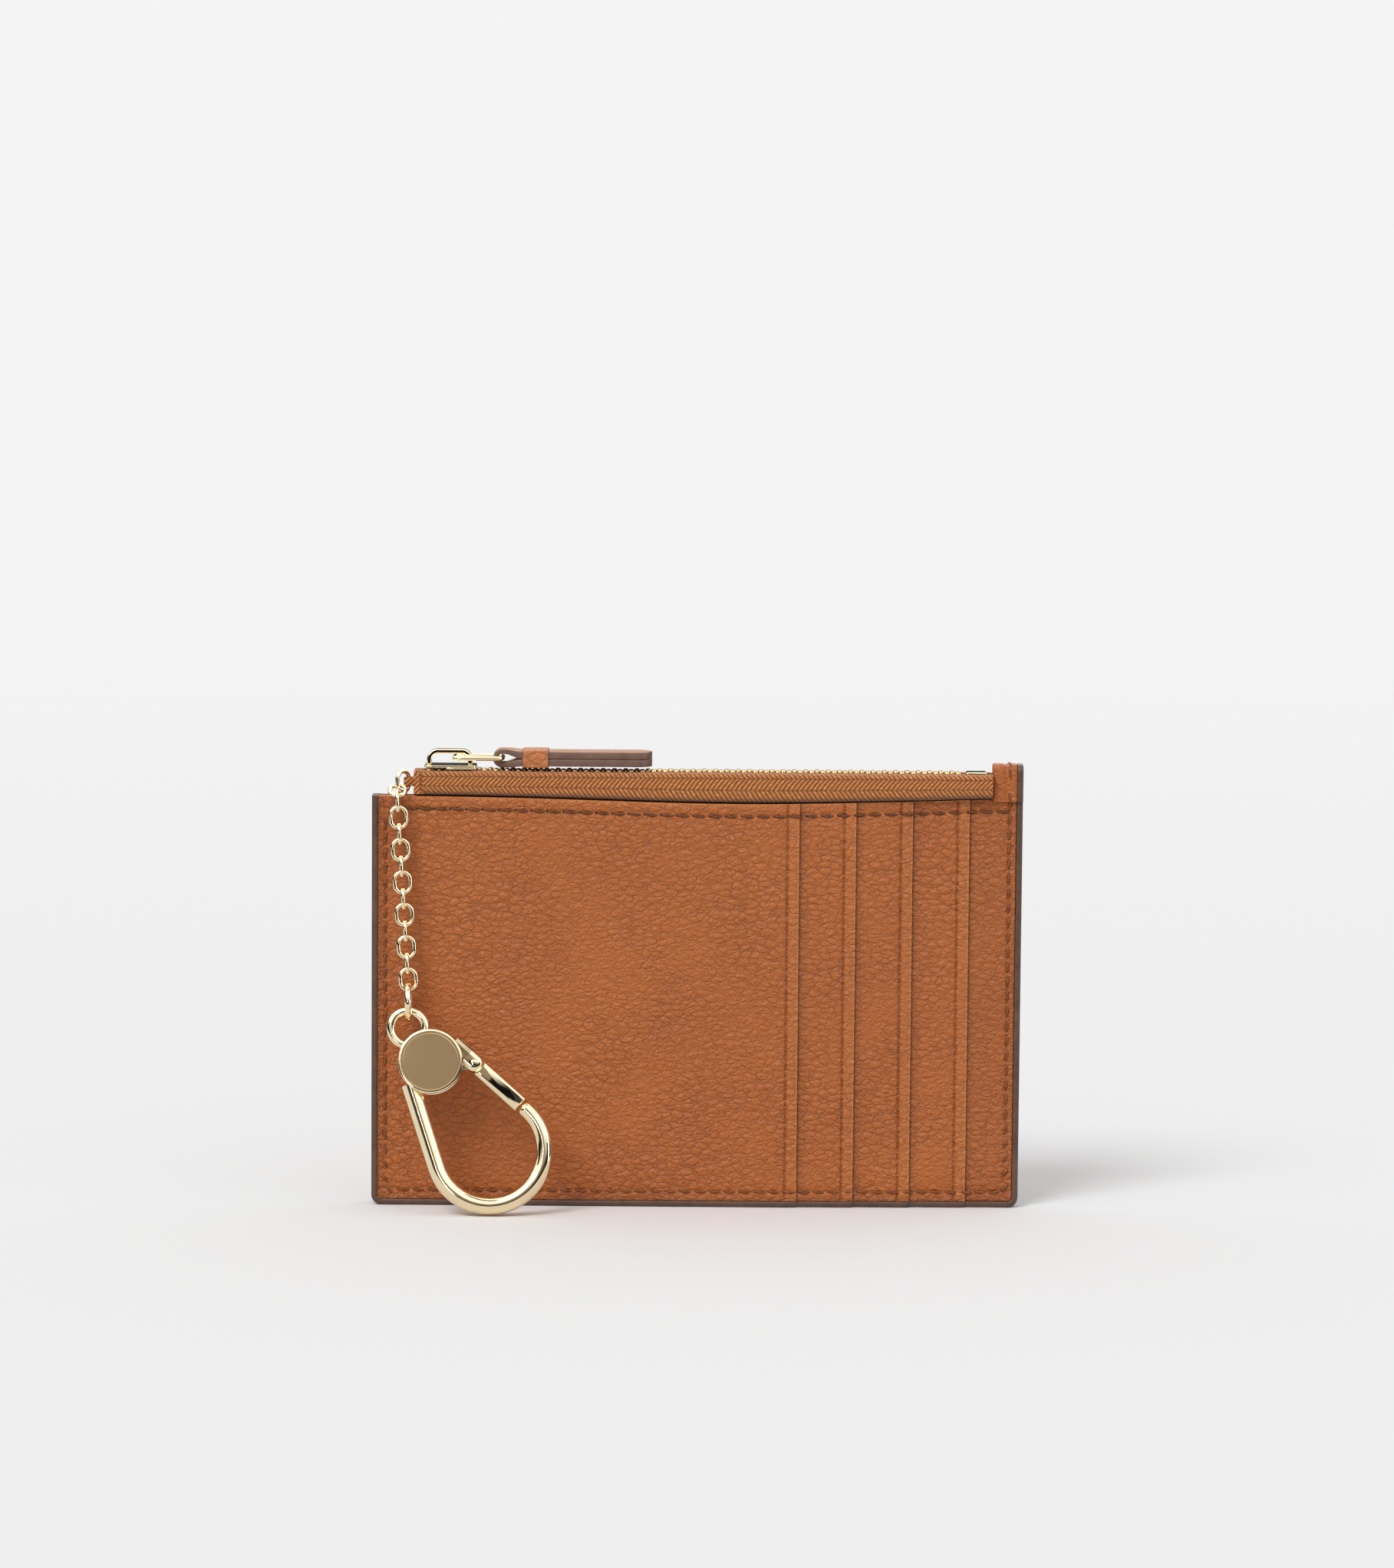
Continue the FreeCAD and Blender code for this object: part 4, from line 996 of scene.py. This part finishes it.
def keeperPiece():
    # a band round the strap, with its two rims drawn in
    corner, thick = 0.1, pull["keeperThick"] - 0.02
    half, high = pull["half"] + 0.02 - corner, pull["thick"] / 2 + 0.02 - corner
    left, wide = pull["keeperLeft"], pull["keeperWide"]
    across = [(0, 0.5), (0.02, 0.2), (0.1, 0.05), (0.3, 0), (0.5, 0), (0.7, 0), (0.9, 0.05), (0.98, 0.2), (1, 0.5)]
    profile = [(left + wide * share, corner + thick * (1 - dip)) for share, dip in across]
    profile += [(left + wide * share, corner) for share in (0.98, 0.02)]
    rings = []
    for side, level, c, s in cornerTurns():
        z = pull["height"] + level * high
        rings.append([Vector((x, side * half + c * out, z + s * out)) for x, out in profile])
    points, faces = loft(rings, closed=True)
    painted = [1 if j in (0, 7, 8, 10) else 0 for i in range(len(rings)) for j in range(len(profile))]
    return makePiece("pullKeeper", points, faces, [keeperLeather, edgePaint], faceMaterials=painted, sharp=60)


settle(keeperPiece(), "pull", "leather", "pull_keeper")
print("slider and pull ready")


# chain, jump ring and clip, hung from the cloth loop at the zip's left end

chain = {
    "loop": (-56.4, -1.3, 83.25), "wire": 0.8, "bend": 1.52, "straight": 1.01, "play": 0.09, "count": 14,
    "third": (-58.35, -6.06, 79.75), "lean": 3.7, "forward": 3.3, "firstTurn": 45.0, "flatTilt": 24.0,
    "jumpBend": 3.4, "jumpWire": 1.2,
}


def chainPlaces():
    # centre, across and along of every link, then the jump ring's top
    out = chain["bend"] + chain["straight"] / 2
    step = 2 * chain["bend"] + chain["straight"] - chain["wire"] - chain["play"]
    down = Vector((math.tan(math.radians(chain["lean"])), -math.tan(math.radians(chain["forward"])), -1)).normalized()
    sideFace = -Vector((0, 1, 0)).cross(down).normalized()
    frontFace = sideFace.cross(down)
    turn, tilt = math.radians(chain["firstTurn"]), math.radians(chain["flatTilt"])
    wide = Vector((-math.cos(turn), -math.sin(turn), 0))
    places = [(Vector(chain["loop"]) + wide * chain["bend"], wide, Vector((0, 0, -1)))]
    flat = Vector((0, -math.cos(tilt), -math.sin(tilt)))
    third = Vector(chain["third"])
    tip = third - down * (out - chain["wire"] - chain["play"])
    places.append((tip - flat * out, Vector((1, 0, 0)), flat))
    for number in range(3, chain["count"] + 1):
        places.append((third + down * step * (number - 3), frontFace if number % 2 else sideFace, down))
    top = places[-1][0] + down * (out - chain["wire"] / 2 - 0.1 - chain["jumpWire"] / 2)
    return places, top


linkPlaces, jumpTop = chainPlaces()
for number, (centre, across, along) in enumerate(linkPlaces, 1):
    wide, long = 2 * chain["bend"], 2 * chain["bend"] + chain["straight"]
    placing = framed(centre, across, along)
    link = wireLoop(f"chainLink{number:02d}", wide, long, chain["bend"], chain["wire"], placing, gold)
    settle(link, f"link_{number:02d}", "gold_metal", f"chain_link_{number:02d}")

clip = {
    "lean": 12.0, "tilt": 34.0, "half": 1.5, "hub": 5.7, "pin": 0.6, "pivot": (6.9, -4.9),
    "eyeBend": 3.15, "eyeWire": 1.3, "eyeLook": 3.35, "eyeThick": 1.7, "eyeHigh": 7.97,
    "cap": 6.3, "capThick": 1.1, "capRise": 0.1, "grooveDeep": 0.3,
    "bowDrop": 20.75, "bowBend": 10.7, "bowWire": 3.6, "bowStart": 164.2, "spine": 17.0, "noseAngle": 20.0,
    "shoulder": 1.7, "shoulderTop": 5.6, "ear": 1.9, "earIn": 0.85, "knuckle": 1.3, "knuckleHalf": 0.75,
    "gateWide": 3.3, "gateStart": 2.1, "gateGap": 0.4,
}
lean = math.radians(clip["lean"])
hang = Vector((0, -math.sin(lean), -math.cos(lean)))
jumpMiddle = jumpTop + hang * chain["jumpBend"]
jumpFoot = jumpMiddle + hang * chain["jumpBend"]
jumpSize = 2 * chain["jumpBend"]
jumpPlace = framed(jumpMiddle, hang.cross(Vector((1, 0, 0))), hang)
jumpRing = wireLoop("jumpRing", jumpSize, jumpSize, chain["jumpBend"], chain["jumpWire"], jumpPlace, gold)
settle(jumpRing, "ring_of_clip", "gold_metal", "jump_ring")

clipTurn = Matrix.Rotation(-lean, 3, "X") @ Matrix.Rotation(-math.radians(clip["tilt"]), 3, "Y")
eyeMiddle = jumpFoot + hang * (clip["eyeBend"] - (chain["jumpWire"] + clip["eyeWire"]) / 2 - 0.1)
clipHome = eyeMiddle - clipTurn @ Vector((0, 0, clip["eyeHigh"]))
clipPlace = Matrix.Translation(clipHome * mm) @ clipTurn.to_4x4()


def onClip(piece, body, *nodes):
    piece.data.transform(clipPlace)
    return settle(piece, body, "gold_metal", *nodes)


def disc(name, radius, low, high, material, x=0.0, z=0.0, steps=(), soft=0.12, sides=64):
    # a turned disc along Y; steps gives extra (radius, height) places on its high face
    profile = [(0.0, low), (radius - soft, low), (radius - soft * 0.3, low + soft * 0.3), (radius, low + soft)]
    profile += [(radius, high - soft), (radius - soft * 0.3, high - soft * 0.3), (radius - soft, high)]
    profile += list(steps) + [(0.0, steps[-1][1] + 0.006 if steps else high)]
    points, faces = [], []
    for i in range(sides):
        turn = math.tau * i / sides
        points += [(x + r * math.cos(turn), y, z + r * math.sin(turn)) for r, y in profile]
    count = len(profile)
    for i in range(sides):
        for j in range(count - 1):
            a, b = i * count + j, (i + 1) % sides * count + j
            faces.append((a, a + 1, b + 1, b))
    return makePiece(name, points, faces, material, sharp=35)


def bowPath():
    # down the spine, round the bow and up to the nose
    centre = Vector((0, 0, -clip["bowDrop"]))
    turn = math.radians(clip["bowStart"])
    foot = centre + Vector((math.cos(turn), 0, math.sin(turn))) * clip["bowBend"]
    along = Vector((-math.sin(turn), 0, math.cos(turn)))
    spine = [foot - along * (clip["spine"] * (1 - i / 16)) for i in range(16)]
    return spine + arc(centre, clip["bowBend"], clip["bowStart"], 360 + clip["noseAngle"], 90)


def bowPiece():
    path = bowPath()
    count = len(path) - 1

    def radius(share):
        full = clip["bowWire"] / 2
        size = full * (1 - 0.1 * smoothStep(0.35, 0.95, share))
        fromNose = (1 - share) * count * 0.412
        if fromNose < 0.35:
            size -= 0.35 - math.sqrt(max(0.35 ** 2 - (0.35 - fromNose) ** 2, 0))
        return size
    return makePiece("bow", *tube(path, radius, (0, 1, 0), 32), gold, sharp=60)


eyeSize, eyePlace = 2 * clip["eyeLook"], framed((0, 0, clip["eyeHigh"]), (1, 0, 0), (0, 0, 1))
eye = wireLoop("eye", eyeSize, eyeSize, clip["eyeLook"], clip["eyeThick"], eyePlace, gold)
parts = [bowPiece(), eye, disc("hub", clip["hub"], -clip["half"], clip["half"], gold)]
pivotX, pivotZ = clip["pivot"]
nose = math.radians(clip["noseAngle"])
noseTip = Vector((math.cos(nose) * clip["bowBend"], 0, math.sin(nose) * clip["bowBend"] - clip["bowDrop"]))
gateLine = noseTip - Vector((pivotX, 0, pivotZ))
gateLong = gateLine.length - clip["gateGap"]
gateTurn = Vector((0, 0, -1)).rotation_difference(gateLine).to_matrix().to_4x4()
gatePlace = Matrix.Translation(Vector((pivotX, 0, pivotZ)) * mm) @ gateTurn
roundLayers = ((0.0, 0.95), (0.06, 0.66), (0.18, 0.36), (0.36, 0.14), (0.62, 0.0))


def barPiece(name, outline, low, high, roundLow=True, roundHigh=True):
    # outline(inset) gives the bar's outline in XZ; its faces crown over towards low and high
    rings = []
    if roundLow:
        rings += [[(x, low + deep, z) for x, z in outline(inset)] for deep, inset in roundLayers]
    else:
        rings.append([(x, low, z) for x, z in outline(0.0)])
    if roundHigh:
        rings += [[(x, high - deep, z) for x, z in outline(inset)] for deep, inset in roundLayers[::-1]]
    else:
        rings.append([(x, high, z) for x, z in outline(0.0)])
    return makePiece(name, *loft(rings), gold, sharp=50)


def footOutline(inset):
    half = clip["shoulder"] - inset
    return flatArc((0, 0), half, 180, 360, 16) + [(half, clip["shoulderTop"]), (-half, clip["shoulderTop"])]


def neckOutline(inset):
    half = clip["shoulder"] - inset
    return [(-half, clip["ear"]), (half, clip["ear"]), (half, clip["shoulderTop"]), (-half, clip["shoulderTop"])]


shoulders = [
    barPiece("earFront", footOutline, -clip["half"], -clip["earIn"], True, False),
    barPiece("earBack", footOutline, clip["earIn"], clip["half"], False, True),
    barPiece("neck", neckOutline, -clip["half"], clip["half"]),
]
for part in shoulders:
    part.data.transform(gatePlace)
parts += shoulders
for part in parts:
    withModifiers(part)
onClip(together("clipFrame", parts), "clip", "clip_frame")

half, cap, capTop, capRise = clip["half"], clip["cap"], clip["half"] + clip["capThick"], clip["capRise"]
capSteps = [(cap * share, capTop - capRise * share ** 2) for share in (0.93, 0.9)]
capSteps += [(cap * share, capTop - clip["grooveDeep"]) for share in (0.89, 0.87)]
capSteps += [(cap * share, capTop - capRise * share ** 2) for share in (0.86, 0.75, 0.6, 0.45, 0.3, 0.15)]
for side, name, node in ((-1, "clipCapFront", "clip_cap_front"), (1, "clipCapBack", "clip_cap_back")):
    capPiece = disc(name, cap, half, capTop - capRise, gold, steps=capSteps, soft=0.25, sides=96)
    if side < 0:
        capPiece.data.transform(Matrix.Rotation(math.pi, 4, "Z"))
    onClip(capPiece, "clip", node)
onClip(disc("clipRivet", 1.1, -half, half, gold), "clip", "clip_rivet")
pin = disc("gatePin", clip["pin"], -half - 0.02, half + 0.02, gold, pivotX, pivotZ, soft=0.05, sides=32)
onClip(pin, "clip", "gate_pin")


def gateOutline(inset):
    # the top is hollowed to follow the round foot
    wide, gap = clip["gateWide"] / 2 - inset, clip["gateStart"]
    side = math.degrees(math.asin(wide / gap))
    low = -gateLong + inset * 0.3
    return flatArc((0, 0), gap, 270 - side, 270 + side, 12) + [(wide, low), (-wide, low)]


def gatePiece():
    bar = barPiece("gateBar", gateOutline, -clip["half"], clip["half"])
    half, gap = clip["knuckleHalf"], clip["gateStart"]
    tongue = slab("gateTongue", brick((-1.2, 1.2), (-gap - 0.5, 0.0)), -half, half, gold, "Y")
    knuckle = disc("gateKnuckle", clip["knuckle"], -half, half, gold, sides=40)
    return together("clipGate", [bar, tongue, knuckle])


gate = gatePiece()
gate.data.transform(gatePlace)
onClip(gate, "gate", "clip_gate")

coil = {"start": (4.35, -4.15), "angle": 38.5, "radius": 0.42, "wire": 0.2, "pitch": 0.4, "turns": 3}
coilWay = Vector((math.cos(math.radians(coil["angle"])), 0, -math.sin(math.radians(coil["angle"]))))
coilSide = Vector((0, 1, 0)).cross(coilWay)
coilStart, coilPath = Vector((coil["start"][0], 0, coil["start"][1])), []
for i in range(coil["turns"] * 16 + 1):
    turn = math.tau * i / 16
    out = (coilSide * math.cos(turn) + Vector((0, 1, 0)) * math.sin(turn)) * coil["radius"]
    coilPath.append(coilStart + coilWay * coil["pitch"] * i / 16 + out)
points, faces = tube(coilPath, coil["wire"] / 2, coilWay, 8)
onClip(makePiece("gateSpring", points, faces, steel, sharp=60), "clip", "gate_spring")


# cloth tab: the tape's end folded round the first link, then sewn into the case

tab = {
    "loop": 0.76, "thick": 0.46, "high": 1.7, "right": -53.5, "blockLeft": -55.4, "front": -3.6, "back": 3.6,
    "top": 85.5, "shoulder": 84.6, "footHalf": 0.5, "foot": 74.0, "footTop": 81.2,
}


def tabPiece():
    x, y, z = chain["loop"]
    path = [Vector((tab["blockLeft"] + 0.5, y + tab["loop"], z)), Vector((x + 0.6, y + tab["loop"], z))]
    path += arc((x, y, z), tab["loop"], 90, 270, 12, up=(0, 1, 0))
    path += [Vector((x + 0.6, y - tab["loop"], z)), Vector((tab["blockLeft"] + 0.5, y - tab["loop"], z))]
    rings = []
    for i, spot in enumerate(path):
        ahead = (path[min(i + 1, len(path) - 1)] - path[max(i - 1, 0)]).normalized()
        out = Vector((ahead.y, -ahead.x, 0))
        t, h = tab["thick"] / 2, tab["high"] / 2
        section = [(t, h - 0.15), (t - 0.12, h), (-t + 0.12, h), (-t, h - 0.15)]
        section += [(a, -b) for a, b in section[::-1]]
        rings.append([spot + out * a + Vector((0, 0, b)) for a, b in section])
    pieces = [makePiece("tabLoop", *loft(rings), tapeCloth, sharp=60)]
    front, back, top, shoulder = tab["front"], tab["back"], tab["top"], tab["shoulder"]
    block = [(front, 80.9), (back, 80.8), (back, shoulder), (back - 0.5, top), (front + 0.5, top), (front, shoulder)]
    tongue = brick((-tab["footHalf"], tab["footHalf"]), (tab["foot"], tab["footTop"]))
    for name, outline in (("tabBlock", block), ("tabTongue", tongue)):
        ends = [[Vector((x, y, z)) for y, z in outline] for x in (tab["blockLeft"], tab["right"])]
        pieces.append(withModifiers(softened(makePiece(name, *loft(ends), tapeCloth), 0.22, 3)))
    return together("chainTab", pieces)


tabMade = tabPiece()
layer = tabMade.data.uv_layers.new(name="UVMap")
for loopCorner in tabMade.data.loops:
    spot = tabMade.data.vertices[loopCorner.vertex_index].co / mm
    layer.data[loopCorner.index].uv = (spot.z + spot.y * 0.3, spot.x + spot.y)
settle(tabMade, "case", "zip_tape", "chain_tab")
print("chain and clip ready")


# stitches: one twisted thread shape repeated along every seam, and dark holes along the top ones, small near-black
# discs that paint the shade inside the stitch holes

stitch = {
    "topPitch": 3.1, "sidePitch": 2.9, "long": 2.95, "thick": 0.54, "slant": 0.12,
    "tabAt": 60.9, "tabRows": (81.0, 83.0, 85.6),
}


def threadShape(name, long, thick, material):
    rings = []
    for share in (0, 0.1, 0.28, 0.5, 0.72, 0.9, 1):
        size = thick / 2 * (0.35 + 0.65 * math.sqrt(math.sin(math.pi * min(max(share, 0.02), 0.98))))
        lift = -thick * 0.75 * (abs(share - 0.5) * 2) ** 3
        ring = []
        for i in range(8):
            turn = math.tau * i / 8
            lobe = 1 + 0.2 * math.cos(2 * turn - share * 9)
            y, z = math.cos(turn) * size * lobe, math.sin(turn) * size * lobe * 0.8 + lift
            ring.append(Vector(((share - 0.5) * long, y, z)))
        rings.append(ring)
    return makePiece(name, *loft(rings), material, sharp=80)


# a small near-black disc standing in for the shade inside a stitch hole
def holeShape(name):
    turns = [math.tau * i / 8 for i in range(8)]
    layers = ((0.2, -0.12), (0.17, 0.015), (0.08, 0.02))
    rings = [[Vector((math.cos(t) * r * 1.25, math.sin(t) * r, h)) for t in turns] for r, h in layers]
    return makePiece(name, *loft(rings), holeDark, sharp=80)


topStitch = threadShape("topStitchShape", stitch["long"], stitch["thick"], darkThread)
sideStitch = threadShape("sideStitchShape", stitch["long"] * 0.9, stitch["thick"] * 0.95, tanThread)
hole = holeShape("holeShape")


def faceAt(x, side):
    return frontAt(x) if side < 0 else case["backBack"]


def topStrand(x0, x1, side):
    xs = spaced(x0, x1, 2.0, [], ends=(0.5,))
    return [(x, faceAt(x, side) - side * 0.02, seamRows[0] - sagAt(x)) for x in xs]


def edgeStrand(side):
    # down the left side, along the bottom and up the right side
    left, right, bottom, top = case["seamLeft"], case["seamRight"], case["seamBottom"], case["top"]
    spots = [(left, faceAt(-50, side), z) for z in (top - 5.5, 60, 40, 20, bottom)]
    spots += [(x, faceAt(x, side), bottom) for x in spaced(left + 3, right - 3, 3.0, [], ends=(0.5,))]
    return spots + [(right, faceAt(60, side), z) for z in (bottom, 20, 40, 60, top - 1.0)]


def seam(name, spots, shape, pitch, facing, slant, material):
    strands = [(i, i + 1) for i in range(len(spots) - 1)]
    inputs = {"Shape": shape, "Pitch": pitch * mm, "Facing": facing, "Slant": slant, "Material": material}
    return settle(grow(name, seamTree, inputs, spots, strands, sharp=80), "case", "leather")


for side, where in ((-1, "Front"), (1, "Back")):
    facing = Vector((0, side, 0))
    lifted = [(x, y + side * 0.06, z) for x, y, z in topStrand(-56.2, 59.5, side)]
    seam(f"topStitches{where}", lifted, topStitch, stitch["topPitch"], facing, stitch["slant"] * side, darkThread)
    between = [(x + stitch["topPitch"] / 2, y, z) for x, y, z in topStrand(-56.2, 57.5, side)]
    seam(f"topHoles{where}", between, hole, stitch["topPitch"], facing, 0.0, holeDark)
    lifted = [(x, y + side * 0.05, z) for x, y, z in edgeStrand(side)]
    seam(f"edgeStitches{where}", lifted, sideStitch, stitch["sidePitch"], facing, stitch["slant"] * side, tanThread)
for side, where in ((-1, "Front"), (1, "Back")):
    tabSpots = [(stitch["tabAt"], side * (crown["half"] + 0.03), z) for z in stitch["tabRows"]]
    seam(f"tabStitches{where}", tabSpots, sideStitch, stitch["sidePitch"] * 0.8, Vector((0, side, 0)), 0.15, tanThread)
tabSpots = [(stitch["tabAt"], y, crown["top"] + 0.02) for y in (-0.9, 0.9)]
seam("tabStitchesTop", tabSpots, sideStitch, 1.7, Vector((0, 0, 1)), 0.1, tanThread)
for shape in (topStitch, sideStitch, hole):
    bpy.data.objects.remove(shape)
print("stitches ready")


# floor, light and camera

studio = {
    "floor": 0.8, "sky": 0.905, "fill": 0.62, "sun": 1.45, "sunSize": 26.0, "sunFrom": (-0.6, -0.95, 1.15),
    "glossLow": 0.06, "glossHigh": 1.5, "boxes": 3.0,
    "tilt": 7.0, "roll": -0.45, "away": 1.3, "aim": (-0.0011, 0.0, 0.0426), "shift": 0.131, "lens": 152.2,
}


def panelMesh(name, width, height, material):
    mesh = bpy.data.meshes.new(name)
    w, h = width / 2, height / 2
    mesh.from_pydata([(-w, -h, 0), (w, -h, 0), (w, h, 0), (-w, h, 0)], [], [(0, 1, 2, 3)])
    mesh.materials.append(material)
    return added(name, mesh)


floorMaterial, tree, skin = startMaterial("paleFloor", Roughness=0.9, Specular_IOR_Level=0.0)
skin["Base Color"].default_value = (studio["floor"], studio["floor"], studio["floor"], 1)
distance = put(tree, "ShaderNodeVectorMath", {0: place(tree)}, operation="LENGTH").outputs["Value"]
tree.links.new(span(tree, distance, 0.45, 1.6, 1.0, 0.0), skin["Alpha"])
floor = panelMesh("floor", 6.0, 6.0, floorMaterial)
floor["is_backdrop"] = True


def softbox(name, spot, size, strength, target=(0, 0, 0.04)):
    light = bpy.data.lights.new(name, "AREA")
    light.shape, light.size, light.size_y, light.energy = "RECTANGLE", size[0], size[1], strength
    made = added(name, light)
    made.location = spot
    made.rotation_euler = (Vector(target) - Vector(spot)).to_track_quat("-Z", "Y").to_euler()
    made.visible_diffuse = False


softbox("keyBox", (-0.6, -0.7, 0.75), (0.35, 0.45), studio["boxes"])
softbox("sideBox", (0.85, -0.4, 0.35), (0.12, 0.7), studio["boxes"])
softbox("frontStrip", (-0.32, -1.2, 0.32), (0.1, 0.5), studio["boxes"] * 0.6)
softbox("backBox", (0.1, 0.8, 0.7), (0.9, 0.3), studio["boxes"])
sunLight = bpy.data.lights.new("sun", "SUN")
sunLight.energy, sunLight.angle = studio["sun"], math.radians(studio["sunSize"])
sun = added("sun", sunLight)
sun.rotation_euler = Vector(studio["sunFrom"]).to_track_quat("Z", "Y").to_euler()

flag = startMaterial("darkCard", Base_Color=(0.01, 0.01, 0.01, 1), Roughness=1.0, Specular_IOR_Level=0.0)[0]
dim = startMaterial("dimCard", Base_Color=(0.52, 0.42, 0.33, 1), Roughness=1.0, Specular_IOR_Level=0.0)[0]
for name, spot, size in (
    ("darkCardFront", (0.12, -1.1, 0.1), (0.5, 0.22)), ("darkCardLeft", (-0.8, -0.35, 0.12), (0.35, 0.5)),
    ("darkCardRight", (0.75, -0.75, 0.12), (0.28, 0.5)), ("darkCardHigh", (0.1, -0.25, 1.1), (0.7, 0.25)),
    ("dimCardFront", (-0.09, -1.1, 0.41), (0.46, 0.38)), ("darkCardLow", (-0.04, -0.7, 0.002), (0.8, 0.9)),
):
    card = panelMesh(name, *size, dim if name == "dimCardFront" else flag)
    card.location = spot
    if spot[2] > 0.01:
        card.rotation_euler = (Vector((0, 0, 0.05)) - Vector(spot)).to_track_quat("Z", "Y").to_euler()
    card.visible_camera = card.visible_diffuse = card.visible_shadow = card.visible_transmission = False
    card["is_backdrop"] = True

world = bpy.data.worlds.new("paleRoom")
world.use_nodes = True
sky = world.node_tree
backdrop = sky.nodes["Background"]
rays = put(sky, "ShaderNodeLightPath").outputs
height = put(sky, "ShaderNodeSeparateXYZ", {0: place(sky, "Generated")}).outputs[2]
room = span(sky, height, -0.15, 0.75, studio["fill"] * 0.75, studio["fill"] * 1.3)
shine = span(sky, height, 0.18, 0.42, studio["glossLow"], studio["glossHigh"])
room = put(sky, "ShaderNodeMix", {0: rays["Is Glossy Ray"], 2: room, 3: shine}).outputs[0]
seen = put(sky, "ShaderNodeMix", {0: rays["Is Camera Ray"], 2: room, 3: studio["sky"]}).outputs[0]
sky.links.new(seen, backdrop.inputs["Strength"])
backdrop.inputs["Color"].default_value = (1, 1, 1, 1)
scene = bpy.context.scene
scene.world = world
scene.view_settings.view_transform = "Standard"

lens = bpy.data.cameras.new("camera")
lens.lens, lens.sensor_width, lens.shift_y = studio["lens"], 36.0, studio["shift"]
camera = added("camera", lens)
tilt = math.radians(studio["tilt"])
camera.location = Vector(studio["aim"]) + Vector((0, -math.cos(tilt), math.sin(tilt))) * studio["away"]
camera.rotation_euler = (math.pi / 2 - tilt, math.radians(studio["roll"]), 0)
scene.camera = camera
print("studio ready")

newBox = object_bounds()
[[list(corner) for corner in pair] for pair in (cadBox, newBox)]
